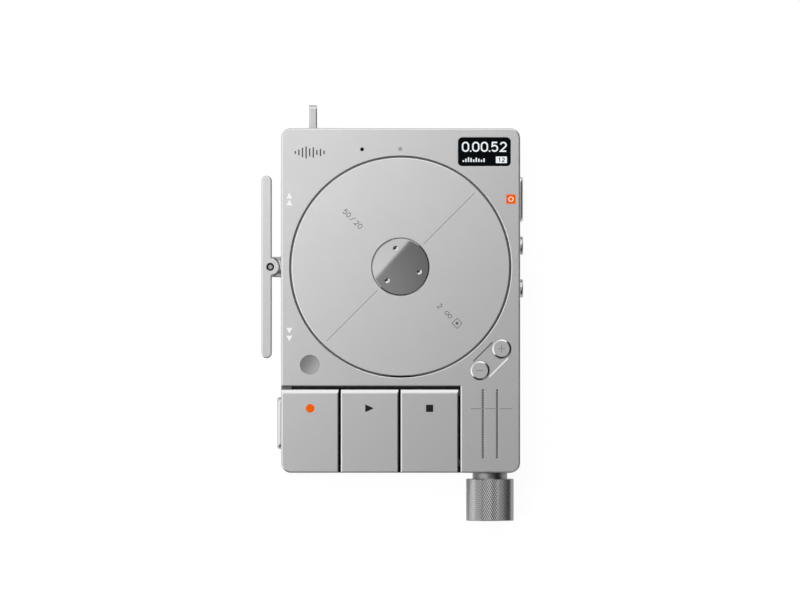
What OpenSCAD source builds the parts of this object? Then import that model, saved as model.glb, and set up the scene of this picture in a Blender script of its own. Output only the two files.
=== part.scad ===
// Handheld digital recorder: a flat metal case with a motor-driven reel, a side rocker,
// three hinged transport keys, push buttons and a knurled level knob.
// Millimetres. The origin is the centre of the case's back face. +X is the right of the
// front face, +Y its top, and +Z comes out of it.

/* [Case] */
// Width of the case
body_w = 66.6; // [66:0.1:72]
// Height of the case
body_h = 96; // [94:0.5:104]
// Thickness of the case, back to front
body_t = 16; // [15.8:0.1:18]
// Radius of the case's corners, seen from the front
corner_r = 2.8; // [2.4:0.1:3.6]
// Rounding of the case's front and rear edges
edge_r = 0.45; // [0.2:0.05:0.8]
// Thickness of the side walls
wall_t = 1.8; // [1.5:0.1:2]
// Thickness of the front panel
panel_t = 1.5; // [1.3:0.1:1.6]
// Thickness of the rear cover
cover_t = 1.5; // [1.2:0.1:1.8]

/* [Reel] */
// Distance from the reel to the case's left and right sides
reel_side = 2.9; // [2.6:0.1:6]
// Distance from the reel to the case's top edge
reel_top = 8.25; // [8:0.05:10]
// Width of the front panel's land between the reel and the keys
reel_land = 2.88; // [2.8:0.02:4]
// Gap between the reel and the front panel, all round
reel_gap = 0.4; // [0.3:0.05:0.6]
// Thickness of the reel
reel_t = 2.2; // [2:0.1:2.4]
// Height of the reel's face above the front panel
reel_proud = 0.1; // [0:0.05:0.3]
// Diameter of the polished hub cap
hub_d = 16; // [14:0.5:18]
// Thickness of the hub cap at its rim
hub_t = 0.9; // [0.8:0.05:1]
// Height of the hub cap's dome
hub_dome = 0.3; // [0.1:0.05:0.4]
// Radius of the circle of hub screws
hub_screw_pcr = 5.32; // [5:0.02:5.6]
// Diameter of the reel's shaft
shaft_d = 4; // [3:0.5:4]

/* [Transport keys] */
// Width of the front panel to the right of the keys
meter_column = 16.62; // [16.2:0.02:18]
// Gap between neighbouring keys
key_gap = 0.6; // [0.4:0.05:0.8]
// Length of the keys, from the case's bottom edge
key_l = 23.23; // [22:0.01:24]
// Gap between the keys and the front panel above them
key_back_gap = 0.84; // [0.7:0.02:1]
// Height of a key's sides
key_t = 5; // [4.6:0.1:5.2]
// Width of the band along a key's upper edge that curves down
key_band = 1.3; // [0.8:0.1:1.6]
// Radius of that curve
key_round = 2.4; // [2:0.1:3]
// Width of the sloping strip along a key's long edges
key_edge = 0.3; // [0.1:0.05:0.5]
// How far a key turns when pressed, in degrees
key_press = 1.8; // [1:0.1:2]

/* [Rocker] */
// Length of the rocker lever
rocker_l = 50.95; // [40:0.05:54]
// Width of the rocker lever
rocker_w = 2.92; // [2.6:0.02:3.4]
// Depth of the rocker lever, back to front
rocker_t = 6; // [5:0.2:7]
// Gap between the rocker lever and the case
rocker_gap = 2.6; // [2.4:0.05:3]
// Radius of the lever's pivot boss
boss_r = 2.55; // [2.3:0.05:2.8]
// Distance from the pivot to the case's side
pivot_out = 3; // [2.9:0.02:3.3]
// Rounding of the rocker lever's edges
rocker_round = 0.35; // [0.2:0.05:0.6]

/* [Buttons] */
// Diameter of the plus, minus and mode buttons
button_d = 5.3; // [4.6:0.1:5.6]
// Travel of every push button
button_travel = 0.5; // [0.3:0.05:0.6]
// Height of the plus and minus buttons above the front panel
button_proud = 0.35; // [0.2:0.05:0.6]
// Distance between the plus and minus buttons
button_pitch = 8.54; // [8:0.02:9]
// Width of the shallow recess round the plus and minus buttons
recess_w = 6.5; // [6.2:0.1:6.6]
// Depth of that recess
recess_depth = 0.15; // [0.1:0.05:0.4]
// Width of the plus and minus buttons' sloping edges
button_edge = 0.45; // [0.3:0.05:0.6]
// Depth of the dish in the mode button
mode_dish = 0.12; // [0.1:0.02:0.4]
// Length of the key high on the right side
memo_l = 12.66; // [11:0.02:14]
// Length of the key low on the left side
left_key_l = 14.6; // [13:0.1:15.4]
// Width of the long side keys
side_key_w = 3.3; // [3:0.1:3.6]
// Diameter of the two round side buttons
side_button_d = 5.18; // [4.6:0.02:5.4]
// How far the right side buttons stand out
side_proud = 0.85; // [0.7:0.05:1.2]
// How far the left side key stands out
left_proud = 1.1; // [0.7:0.05:1.3]
// Rounding of the long side keys' outer edges
side_round = 0.7; // [0.2:0.05:0.7]
// Rounding of the round side buttons' outer edges
side_button_round = 0.3; // [0.1:0.05:0.5]

/* [Display and meters] */
// Width of the display window
display_w = 14.66; // [13:0.02:15]
// Height of the display window
display_h = 8; // [7:0.1:8.4]
// Distance from the window to the case's right and top edges
display_margin = 2.62; // [2.5:0.02:3]
// Diameter of a level meter hole
meter_hole_d = 0.6; // [0.4:0.05:0.65]
// Number of holes in each level meter
meter_count = 28; // [10:1:29]
// Distance between neighbouring meter holes
meter_pitch = 0.69; // [0.68:0.005:0.71]
// Distance between the two rows of meter holes
meter_rows = 3.98; // [3.4:0.02:4.4]

/* [Level knob] */
// Diameter of the knurled knob
knob_d = 13.3; // [11:0.1:13.6]
// Length of the knurled knob
knob_l = 11.75; // [10:0.05:14]
// Diameter of the polished neck behind the knob
neck_d = 9.7; // [8:0.1:10.4]
// Length of that neck, from the case to the knob
neck_l = 1.65; // [1.2:0.05:2.2]
// Diameter of the knob's shaft
knob_shaft_d = 4; // [3:0.1:4]
// Distance from the knob's axis to the case's right edge
knob_from_right = 8.4; // [8:0.05:8.6]

/* [Strap loop] */
// Width of the strap loop's bar
loop_w = 2.23; // [2:0.01:3]
// Height of the strap loop above the case
loop_h = 6.46; // [6.2:0.02:7]
// Depth of the strap loop, back to front
loop_d = 8.6; // [8:0.1:9.4]
// Thickness of the strap loop's bar
loop_bar = 1.5; // [1.2:0.1:1.7]
// Distance from the strap loop's middle to the case's left edge
loop_from_left = 8.9; // [8:0.1:10]
// Rounding of the strap loop's outer edges
loop_round = 0.3; // [0.2:0.05:0.6]

/* [Sockets] */
// Diameter of a line socket's bore
jack_bore_d = 3.6; // [3.5:0.05:3.7]
// Depth of a line socket's bore
jack_depth = 14; // [13:0.1:14.5]

/* [Hidden] */
$fn = 64;

// Clearances
run_gap = 0.04;      // round parts that turn or slide in a hole
slot_gap = 0.08;     // keys that slide in a slot
seat_gap = 0.1;      // parts laid into a space
stop_gap = 0.05;     // left between a pressed part and its switch
spin_gap = 0.3;      // beside turning parts
cut = 1;             // how far a cutter passes a face

// Case
half_w = body_w / 2;
half_h = body_h / 2;
in_x = half_w - wall_t;
in_y = half_h - wall_t;
panel_z = body_t - panel_t;
mid_z = body_t / 2;
screw_r = 0.75;                       // every small screw's shank
screw_head_r = 1.35;
screw_head_t = 0.8;
post_r = 1.5;
post_in = wall_t + post_r - 0.2;      // corner posts run into the walls
corner_posts = [for (sx = [-1, 1], sy = [-1, 1]) [sx * (half_w - post_in), sy * (half_h - post_in)]];
cover_screw_l = 6;
tab = [14, 1, 1];                     // locating tab on the rear cover: length, thickness, height

// Reel and motor, from the front to the back
reel_y1 = half_h - reel_top;           // the reel lies between these heights
reel_y0 = -half_h + key_l + key_back_gap + reel_land;
reel_y = (reel_y0 + reel_y1) / 2;
reel_r = min(half_w - reel_side, (reel_y1 - reel_y0) / 2);
reel_z1 = body_t + reel_proud;
reel_z0 = reel_z1 - reel_t;
reel_bevel = [0.2, 0.09];             // on the reel's edges and on its opening's edge: width and drop
hub_r = hub_d / 2;
hub_z1 = reel_z1;
hub_seat_z = hub_z1 - hub_t;
dome_r = (hub_r * hub_r + hub_dome * hub_dome) / (2 * hub_dome);
function dome_z(r) = hub_z1 + hub_dome - dome_r + sqrt(dome_r * dome_r - r * r);
hub_screw_angles = [105, -15, 225];
hub_rim = [0.3, 0.17];                // sloping rim of the hub cap: width and height
hub_rim_z = dome_z(hub_r - hub_rim[0]) - hub_rim[1];
hub_hole_r = 0.8;
hub_thread_r = 0.52;
hub_screw_sink = 0.05;                // head of a hub screw below the dome
hub_screw_z1 = dome_z(hub_screw_pcr + hub_hole_r) - hub_screw_sink;
hub_socket = [0.1, 0.72, 0.3];        // conical socket: lower and upper radius, and depth
shaft_r = shaft_d / 2;
flange_r = 9;                         // carrier under the reel
flange_t = 1.6;
flange_z0 = reel_z0 - flange_t;
reel_under_gap = 0.5;
deck_t = 1.2;
deck_z1 = reel_z0 - reel_under_gap;
deck_z0 = deck_z1 - deck_t;
deck_hole_r = flange_r + 1;
deck_r = min(in_x - seat_gap, reel_r + 0.9);
deck_arm = 6;                         // width of the arms that reach the deck's ears
deck_boss_r = 1.7;
deck_boss_x = in_x - deck_boss_r + 0.1;
deck_ear_r = deck_boss_r - 0.2;
housing_z1 = flange_z0 - spin_gap;
housing_flange_r = deck_hole_r + 3.5;
housing_flange_t = 1;
housing_r = 5;
housing_l = 6.2;
housing_z0 = housing_z1 - housing_l;
bush_r = 3.5;
bush_l = 2.2;
stator_z1 = deck_z0 - housing_flange_t - 0.8;
stator_t = 3.8;
stator_z0 = stator_z1 - stator_t;
stator_ring_r = 6.4;
stator_r = 10.6;
stator_teeth = 9;
tooth_w = 1.5;
coil_t = 0.55;
coil_l = 2.6;
magnet_r0 = stator_r + spin_gap;
magnet_t = 0.9;
magnet_h = 4.2;
bell_r0 = magnet_r0 + magnet_t;
bell_t = 0.8;
bell_r = bell_r0 + bell_t;
bell_z1 = stator_z1 + 0.4;
bell_plate_z = housing_z0 - spin_gap;
bell_plate_t = 1;
shaft_z0 = bell_plate_z - bell_plate_t - 0.4;
shaft_z1 = hub_seat_z - 0.2;

// Transport keys and their tray
key_w = (body_w - meter_column) / 3 - key_gap;
key_x = [for (i = [0:2]) -half_w + i * (key_w + key_gap)];   // left side of each key
key_well_x = key_x[2] + key_w + key_gap;
key_top_y = -half_h + key_l;
well_top_y = key_top_y + key_back_gap;
key_z0 = body_t - key_t;
key_edge_drop = 0.14;
key_band_drop = key_round - sqrt(key_round * key_round - key_band * key_band);
key_skin = 1.4;
key_wall = 1.2;
hinge_back = 2.1;                     // pivot behind the key's upper edge
hinge_depth = 3.6;                    // pivot below the front face
hinge_y = key_top_y + hinge_back;
hinge_z = body_t - hinge_depth;
rod_r = 0.75;
knuckle_r = 1.5;
knuckle_w = 9;
arm_t = 2.4;
well_bevel = [0.3, 0.14];             // on the front panel's edges along the keys: width and drop
ledge = [2.9, 0.6];                   // ledge that closes the left end of the gap: width and height
ledge_gap = 0.12;                     // from the ledge to the key
ledge_sink = 1.6;                     // and below the front face
strip = [0.8, 0.65];                  // strip that closes the rest of the gap: width and height
strip_z0 = hinge_z + arm_t / 2 + seat_gap;
key_drop = (key_l + hinge_back) * sin(key_press);
key_floor_gap = 0.3;
well_z = key_z0 - key_drop - key_floor_gap;
tray_t = 1;
tray_z1 = well_z - key_floor_gap;
tray_z0 = tray_z1 - tray_t;
tray_y1 = hinge_y + knuckle_r + 0.1;
tray_gap = 0.4;
tray_x0 = -in_x + tray_gap;
tray_x1 = key_well_x - seat_gap;
tray_y0 = -in_y + tray_gap;
ear_w = 1.2;
rim_t = 0.8;                          // raised rim of the tray, behind the keys' skirts
rim_h = key_z0 + 1 - tray_z1;
rim_inset = key_wall + 1.6;
rib_t = 1.5;                          // wall between the keys and the meters
post_bite = 0.1;                      // how far a tray post runs into the rib beside it
tray_post_x = key_well_x - post_r + post_bite;
tray_post_y = hinge_y - knuckle_r - screw_head_r - 0.2;
tray_screw_l = 3;
actuator_r = 1.2;
actuator_back = 11;                   // from the key's upper edge to its switch
spring_back = 17;                     // and to its spring
actuator_z = key_z0 + 0.9;
actuator_drop = (actuator_back + hinge_back) * sin(key_press);
spring_r = 1.6;
spring_wire = 0.3;
spring_turns = 6;
spring_rings = 10;
spring_sides = 6;

// Push buttons and their switches
button_r = button_d / 2;
button_flange_r = button_r + 0.4;
button_flange_t = 0.75;
button_edge_drop = 0.26;
button_z0 = panel_z - seat_gap - button_flange_t;
recess_z = body_t - recess_depth;
recess_slope = 0.3;                   // width of the recess's sloping sides
plus_in = [5.2, 34.56];               // plus button from the right edge and above the bottom edge
plus_at = [half_w - plus_in[0], -half_h + plus_in[1]];
minus_at = plus_at - button_pitch / sqrt(2) * [1, 1];
mode_in = [8.1, 6];                   // mode button from the left edge and above the keys' well
mode_at = [-half_w + mode_in[0], well_top_y + mode_in[1]];
switch_w = 3;
switch_t = 0.65;
plunger_r = 0.7;
plunger_t = 0.4;
board_t = 0.8;
front_tip_z = button_z0 - button_travel - stop_gap;
front_switch_z = front_tip_z - plunger_t - switch_t;
front_board_z = front_switch_z - board_t;
board_boss_r = 1.2;
board_boss_edge = 0.3;                // button board past its boss
board_neck = [5, 2 * board_boss_r];   // strip that joins a button board to its boss
volume_boss = (plus_at + minus_at) / 2 + 5 / sqrt(2) * [1, -1];
mode_boss = mode_at + [-4.4, 2.9];
side_lip = 0.6;
side_flange_t = 0.8;
side_tip = in_x - seat_gap - side_flange_t - button_travel - stop_gap;   // switch tip, from the middle
side_board_x = side_tip - plunger_t - switch_t - board_t;
memo_down = 19.77;                    // side keys and buttons, from the top edge
side_button_down = [32.7, 44.6];
left_key_up = 13.8;                   // left side key, from the bottom edge
left_key_under = 2.2;                 // and below the top of its wall
memo_y = half_h - memo_down;
side_button_ys = [for (d = side_button_down) half_h - d];
left_key_y = -half_h + left_key_up;
left_key_z = well_z - side_key_w / 2 - left_key_under;
left_post_y = left_key_y + left_key_l / 2 + side_lip + spin_gap + post_r;
left_post_x = tray_x0 + ear_w + screw_head_r + seat_gap;
tray_posts = [[tray_post_x, -half_h + post_in], [tray_post_x, tray_post_y], [left_post_x, left_post_y]];
right_board_y = [side_button_ys[1] - side_button_d / 2 - side_lip, memo_y + memo_l / 2 + side_lip];
right_board_z1 = mid_z + side_button_d / 2 + side_lip;
left_board_h = left_key_z + side_key_w / 2 - cover_t;

// Bosses that hang the reel deck from the front panel, clear of the plus button
deck_boss_down = 15.05;               // upper bosses, from the top edge
deck_boss_up = 5.94;                  // lower bosses, above the plus button
deck_boss_ys = [half_h - deck_boss_down, plus_at[1] + deck_boss_up];
deck_bosses = [for (sx = [-1, 1], y = deck_boss_ys) [sx * deck_boss_x, y]];

// Rocker
rocker_x1 = -half_w - rocker_gap;     // side of the lever that faces the case
rocker_x0 = rocker_x1 - rocker_w;
rocker_at = [-half_w - pivot_out, reel_y];
rocker_z0 = mid_z - rocker_t / 2;
lug_t = 2;
lug_r = 1.5;
lug_half = 2.85;                      // half width of the lug
lug_root = 3.2;                       // and where it meets the case
lug_end_gap = 0.15;                   // from the lug's square end to the lever's inner side
lug_clear = 0.1;
stud_l = 2.1;                         // round stud that carries the lug, out from the case
stud_gap = 0.15;                      // from the stud to the lever's boss
boss_fillet_r = 0.4;
fillet_bite = 0.2;                    // how far that fillet runs into the lever
bracket_plate = [1, 10, 6];
pivot_r = 0.5;
pivot_head_r = 0.74;
pivot_head_t = 0.5;
pivot_socket_r = 0.32;
pivot_socket_depth = 0.3;
counterbore_r = 1.08;
counterbore_depth = 1.3;

// Display, microphone, lamp and meters
display_at = [half_w - display_margin - display_w / 2, half_h - display_margin - display_h / 2];
display_r = 1.15;
window_inset = 0.08;
module_size = [display_w + 0.6, display_h + 0.8, 1.3];
mic_left = 10.7;                      // microphone hole, from the lamp in the middle
mic_down = 5.95;                      // both, from the top edge
mic_at = [-mic_left, half_h - mic_down];
lamp_at = [0, half_h - mic_down];
mic_hole_r = 0.5;
lamp_r = 0.45;
mic_r = 2;
mic_t = 1.2;
sensor_board = [16, 4.6, 0.7];
sensor_shift = 1.2;                   // board's middle above the microphone
knob_x = half_w - knob_from_right;
meter_up = 23;                        // each row's highest hole, from the bottom edge
meter_top = -half_h + meter_up;
meter_xs = [knob_x - meter_rows / 2, knob_x + meter_rows / 2];
meter_l = (meter_count - 1) * meter_pitch;
guide_w = 1.6;
guide_t = 1;
guide_sink = 0.1;                     // tips of the light guides below the front face
meter_board_t = 0.9;

// Level knob
knob_r = knob_d / 2;
knob_y1 = -half_h - neck_l;
knob_bevel = 0.4;
neck_gap = 0.12;
knob_shaft_r = knob_shaft_d / 2;
knob_end_wall = 3;                    // solid end of the knob, beyond its bore
knob_bore_l = knob_l - knob_end_wall;
knob_bush_r = knob_shaft_r + 1;
knob_bush_lip = 0.8;
knob_bush_edge = 0.8;                 // lip of the bush past its sleeve
pot_neck_r = knob_shaft_r + 1;
pot_neck_l = 2.6;
pot_size = [9.4, 7, 8.8];
pot_bite = 1.6;                       // how far the shaft reaches into the control
pot_y0 = -in_y + knob_bush_lip;

// Sockets, strap loop, boards, battery and speaker
board_x = side_board_x;               // the main board reaches the side boards
board_rise = 4.1;                     // main board above the rear cover
board_z0 = cover_t + board_rise;
main_board_t = 1;
board_ends = [0.6, 1.4];              // gaps at the main board's lower and upper ends
board_y = [tray_y1 + board_ends[0], in_y - board_ends[1]];
board_hole_r = bell_r + 1;
board_post_r = 1.6;
board_post_in = 3;
board_posts = [for (s = [-1, 1], y = [board_y[0] + board_post_in, board_y[1] - board_post_in])
    [s * (board_x - board_post_in), y]];
jack_size = [7, 5];                   // width and height of a line socket's body
jack_z = board_z0 + main_board_t + jack_size[1] / 2;
jack_nose_r = 2.9;
jack_wall = 0.8;
usb_in = 13.3;                        // USB socket, from the right edge
usb_x = half_w - usb_in;
jack_in = 19.3;                       // first line socket, from the left edge
jack_usb = 12;                        // last line socket, from the USB socket
jack_x0 = -half_w + jack_in;
jack_x1 = usb_x - jack_usb;
jack_xs = [jack_x0, (jack_x0 + jack_x1) / 2, jack_x1];
usb_size = [8.94, 3.2, 7.4];
usb_shell = 0.35;
usb_back = 1;                         // thickness of the socket's rear wall
usb_tongue = [6.6, 0.7, 6.2];
usb_z = board_z0 + main_board_t + usb_size[1] / 2;
loop_x = -half_w + loop_from_left;
loop_r = 1.1;
loop_retainer_t = 1;
loop_retainer_lip = [1, 0.8];         // retainer past the loop: at its sides, and at front and back
battery_x = [left_post_x + post_r + 0.2, tray_post_x - post_r - 0.2];
battery_y = [-in_y + tab[1] + 0.4, tray_y1 - 0.8];
battery_over = 0.6;                   // space over the battery
battery_t = tray_z0 - cover_t - battery_over;
speaker_in = [19.3, 20];              // speaker, from the left and top edges
speaker_at = [-half_w + speaker_in[0], half_h - speaker_in[1]];
speaker_r = 8;
speaker_t = 3.4;
speaker_hole_r = 0.5;
speaker_hole_pitch = 2.2;

silver = [0.76, 0.76, 0.76];
polished = [0.62, 0.62, 0.62];
steel = [0.55, 0.55, 0.57];
brass = [0.72, 0.58, 0.3];
copper = [0.72, 0.42, 0.22];
dark = [0.12, 0.12, 0.13];
board_green = [0.1, 0.28, 0.2];

// Shared shapes

module rounded_rect(w, h, r) {
    square([w - 2 * r, h], center = true);
    square([w, h - 2 * r], center = true);
    for (sx = [-1, 1], sy = [-1, 1])
        translate([sx * (w / 2 - r), sy * (h / 2 - r)]) circle(r);
}

module stadium(l, w) {
    square([l - w, w], center = true);
    for (s = [-1, 1]) translate([s * (l - w) / 2, 0]) circle(w / 2);
}

// Section of the slab's rim, l wide and t high, with its outer upper edge rounded to e.
module rim_section(l, t, e) {
    square([l, t - e]);
    square([l - e, t]);
    translate([l - e, t - e]) circle(e);
}

// Slab of w by h by t standing on z = 0, with round corners and a rounded upper edge.
module rounded_slab(w, h, t, r, e) {
    translate([-w / 2 + r, -h / 2 + r, 0]) cube([w - 2 * r, h - 2 * r, t]);
    for (a = [0, 180]) rotate(a) {
        translate([w / 2 - r, h / 2 - r, 0]) rotate([90, 0, 0])
            linear_extrude(h - 2 * r) rim_section(r, t, e);
        translate([-w / 2 + r, h / 2 - r, 0]) rotate([90, 0, 90])
            linear_extrude(w - 2 * r) rim_section(r, t, e);
        translate([w / 2 - r, h / 2 - r, 0]) rotate_extrude(angle = 90) rim_section(r, t, e);
        translate([-w / 2 + r, h / 2 - r, 0]) rotate(90) rotate_extrude(angle = 90) rim_section(r, t, e);
    }
}

// Slab with round ends, l by w by t, standing on z = 0, with a rounded upper edge.
module rounded_stadium(l, w, t, e) {
    for (a = [0, 180]) rotate(a) {
        translate([(l - w) / 2, 0, 0]) rotate(-90) rotate_extrude(angle = 180) rim_section(w / 2, t, e);
        translate([(w - l) / 2, 0, 0]) rotate([90, 0, 90]) linear_extrude(l - w) rim_section(w / 2, t, e);
    }
}

// Outline of the whole case with both rounded edges, front and rear.
module case_envelope() {
    rounded_slab(body_w, body_h, body_t, corner_r, edge_r);
}

// Laid along +X from a point on the right-hand side: a flat shape with its length along Y.
module along_x(l) {
    rotate([90, 0, 90]) linear_extrude(l) children();
}

module pillar(at, z0, z1, r) {
    translate([at[0], at[1], z0]) cylinder(r = r, h = z1 - z0);
}

module tact_switch() {
    translate([-switch_w / 2, -switch_w / 2, 0]) cube([switch_w, switch_w, switch_t]);
    cylinder(r = plunger_r, h = switch_t + plunger_t);
}

// Coil spring standing on z = 0: one unbroken tube of n turns.
module coil_spring(r, wire, h, n) {
    rings = n * spring_rings;
    lift = h - 2 * wire;
    points = [for (i = [0:rings], j = [0:spring_sides - 1])
        let (a = 360 * i / spring_rings, b = 360 * j / spring_sides)
        let (out = r + wire * cos(b))
        [out * cos(a), out * sin(a), wire + lift * i / rings + wire * sin(b)]];
    sides = [for (i = [0:rings - 1], j = [0:spring_sides - 1])
        let (k = (j + 1) % spring_sides, p = i * spring_sides, q = p + spring_sides)
        each [[p + j, p + k, q + k], [p + j, q + k, q + j]]];
    foot = [for (j = [1:spring_sides - 2]) [0, j + 1, j]];
    last = rings * spring_sides;
    head = [for (j = [1:spring_sides - 2]) [last, last + j, last + j + 1]];
    polyhedron(points, concat(sides, foot, head));
}

// Case

// One cylinder in each meter hole's place.
module meter_pins(r, z0, z1) {
    for (x = meter_xs, i = [0:meter_count - 1])
        translate([x, meter_top - i * meter_pitch, z0]) cylinder(r = r, h = z1 - z0, $fn = 24);
}

module case_cavity() {
    translate([0, 0, cover_t - cut])
        linear_extrude(panel_z - cover_t + cut)
            rounded_rect(2 * in_x, 2 * in_y, corner_r - wall_t);
}

module front_case_posts() {
    for (p = corner_posts) pillar(p, cover_t, tray_z0, post_r);
    for (p = tray_posts) pillar(p, cover_t, tray_z0, post_r);
    for (p = deck_bosses) pillar(p, deck_z1, panel_z, deck_boss_r);
    pillar(volume_boss, front_board_z + board_t, panel_z, board_boss_r);
    pillar(mode_boss, front_board_z + board_t, panel_z, board_boss_r);
    translate([key_well_x, -in_y, cover_t]) cube([rib_t, tray_y1 + in_y, panel_z - cover_t]);
}

module screw_holes() {
    for (p = corner_posts) pillar(p, cover_t - cut, cover_t + cover_screw_l, screw_r + run_gap);
    for (p = tray_posts) pillar(p, tray_z0 - tray_screw_l, tray_z0 + cut, screw_r + run_gap);
    for (p = deck_bosses) pillar(p, deck_z1 - cut, panel_z, screw_r + run_gap);
}

// Section of the keys' well mouth, from its open side to its wall, with the wall's edge broken.
module mouth_section(open, wall) {
    low = body_t - 2 * well_bevel[1];
    high = body_t + well_bevel[1];
    polygon([[open, low], [wall - well_bevel[0], low], [wall + 2 * well_bevel[0], high], [open, high]]);
}

module well_mouth() {
    intersection() {
        translate([0, half_h, 0]) rotate([90, 0, 0])
            linear_extrude(body_h + cut) mouth_section(-half_w - cut, key_well_x);
        translate([-half_w - cut, 0, 0])
            along_x(body_w + cut) mouth_section(-half_h - cut, well_top_y);
    }
}

// Shallow recess round the plus and minus buttons, with sloping sides.
module button_recess() {
    half = recess_w / 2;
    flare = recess_slope * cut / recess_depth;
    translate([(plus_at[0] + minus_at[0]) / 2, (plus_at[1] + minus_at[1]) / 2, recess_z]) rotate(45) {
        for (s = [-1, 1]) translate([s * button_pitch / 2, 0, 0])
            cylinder(r1 = half - recess_slope, r2 = half + flare, h = recess_depth + cut);
        translate([-button_pitch / 2, 0, 0]) along_x(button_pitch) polygon([
            [recess_slope - half, 0], [half - recess_slope, 0],
            [half + flare, recess_depth + cut], [-half - flare, recess_depth + cut]]);
    }
}

module reel_opening() {
    r = reel_r + reel_gap;
    translate([0, reel_y, 0]) {
        translate([0, 0, panel_z - cut]) cylinder(r = r, h = panel_t + 2 * cut);
        translate([0, 0, body_t - 2 * reel_bevel[1]])
            cylinder(r1 = r - reel_bevel[0], r2 = r + 2 * reel_bevel[0], h = 3 * reel_bevel[1], $fn = 128);
    }
}

module front_openings() {
    reel_opening();
    translate([-half_w - cut, -half_h - cut, well_z])
        cube([key_well_x + half_w + cut, well_top_y + half_h + cut, body_t]);
    well_mouth();
    button_recess();
    for (p = [plus_at, minus_at, mode_at]) pillar(p, panel_z - cut, body_t + cut, button_r + run_gap);
    translate([display_at[0], display_at[1], panel_z - cut])
        linear_extrude(panel_t + 2 * cut) rounded_rect(display_w, display_h, display_r);
    pillar(mic_at, panel_z - cut, body_t + cut, mic_hole_r);
    pillar(lamp_at, panel_z - cut, body_t + cut, lamp_r + run_gap);
    meter_pins(meter_hole_d / 2, panel_z - cut, body_t + cut);
}

module side_openings() {
    translate([in_x - cut, memo_y, mid_z])
        along_x(wall_t + 2 * cut) stadium(memo_l + 2 * slot_gap, side_key_w + 2 * slot_gap);
    for (y = side_button_ys) translate([in_x - cut, y, mid_z])
        along_x(wall_t + 2 * cut) circle(side_button_d / 2 + run_gap);
    translate([-half_w - cut, left_key_y, left_key_z])
        along_x(wall_t + 2 * cut) stadium(left_key_l + 2 * slot_gap, side_key_w + 2 * slot_gap);
    translate([-half_w - cut, rocker_at[1] - lug_root - slot_gap, mid_z - lug_t / 2 - slot_gap])
        cube([wall_t + 2 * cut, 2 * (lug_root + slot_gap), lug_t + 2 * slot_gap]);
}

module end_openings() {
    for (x = jack_xs) translate([x, in_y - cut, jack_z])
        rotate([-90, 0, 0]) cylinder(r = jack_nose_r + run_gap, h = wall_t + 2 * cut);
    translate([usb_x, in_y - cut, usb_z]) rotate([-90, 0, 0])
        linear_extrude(wall_t + 2 * cut) stadium(usb_size[0] + 2 * slot_gap, usb_size[1] + 2 * slot_gap);
    for (s = [-1, 1]) translate([loop_x, in_y + wall_t / 2, mid_z + s * (loop_d - loop_bar) / 2])
        cube([loop_w + 2 * slot_gap, wall_t + 2 * cut, loop_bar + 2 * slot_gap], center = true);
    translate([knob_x, -half_h - cut, mid_z]) rotate([-90, 0, 0])
        cylinder(r = knob_bush_r, h = wall_t + 2 * cut);
}

module front_case() color(silver) {
    difference() {
        union() {
            difference() {
                translate([0, 0, cover_t])
                    rounded_slab(body_w, body_h, body_t - cover_t, corner_r, edge_r);
                case_cavity();
            }
            front_case_posts();
        }
        screw_holes();
        front_openings();
        side_openings();
        end_openings();
    }
    translate([-half_w, key_top_y + ledge_gap, body_t - ledge_sink - ledge[1]])
        cube([ledge[0], key_back_gap - ledge_gap + panel_t, ledge[1]]);
}

// Rows of small holes within a circle, for the speaker.
module speaker_holes(l) {
    n = floor((speaker_r - 2) / speaker_hole_pitch);
    for (i = [-n:n], j = [-n:n])
        if (norm([i, j]) * speaker_hole_pitch < speaker_r - 1.5)
            translate([speaker_at[0] + i * speaker_hole_pitch, speaker_at[1] + j * speaker_hole_pitch, -cut])
                cylinder(r = speaker_hole_r, h = l, $fn = 24);
}

module rear_cover() color(silver) {
    difference() {
        union() {
            translate([0, 0, cover_t]) mirror([0, 0, 1])
                rounded_slab(body_w, body_h, cover_t, corner_r, edge_r);
            for (s = [-1, 1]) {
                translate([0, s * (in_y - seat_gap - tab[1] / 2), cover_t + tab[2] / 2])
                    cube(tab, center = true);
                translate([s * (in_x - seat_gap - tab[1] / 2), 0, cover_t + tab[2] / 2])
                    cube([tab[1], tab[0], tab[2]], center = true);
            }
            for (p = board_posts) pillar(p, cover_t, board_z0, board_post_r);
        }
        for (p = corner_posts) {
            pillar(p, -cut, cover_t + cut, screw_r + run_gap);
            translate([p[0], p[1], -0.01])
                cylinder(r1 = screw_head_r + run_gap, r2 = screw_r + run_gap, h = screw_head_t);
        }
        speaker_holes(cover_t + 2 * cut);
    }
}

module cover_screws() color(steel)
    for (p = corner_posts) translate([p[0], p[1], 0]) difference() {
        union() {
            cylinder(r1 = screw_head_r - 0.02, r2 = screw_r, h = screw_head_t);
            cylinder(r = screw_r, h = cover_t + cover_screw_l - 0.4);
        }
        translate([0, 0, -cut]) cylinder(r = 0.6, h = cut + 0.45, $fn = 6);
    }

// Reel deck, bearing and motor

module reel_deck() color(steel) difference() {
    translate([0, 0, deck_z0]) linear_extrude(deck_t) difference() {
        union() {
            intersection() {
                translate([0, reel_y]) circle(deck_r);
                translate([-body_w / 2, tray_y1 + spin_gap]) square([body_w, body_h]);
            }
            translate([-deck_boss_x, reel_y - deck_arm / 2]) square([2 * deck_boss_x, deck_arm]);
            for (p = deck_bosses) {
                translate(p) circle(deck_ear_r);
                translate([p[0] - deck_ear_r, min(p[1], reel_y)])
                    square([2 * deck_ear_r, abs(p[1] - reel_y)]);
            }
        }
        translate([0, reel_y]) circle(deck_hole_r);
    }
    for (p = deck_bosses) pillar(p, deck_z0 - cut, deck_z1 + cut, screw_r + run_gap);
}

module deck_screws() color(steel) for (p = deck_bosses) {
    pillar(p, deck_z0 - screw_head_t, deck_z0, screw_head_r - 0.1);
    pillar(p, deck_z0 - screw_head_t, panel_z - 0.3, screw_r);
}

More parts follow.
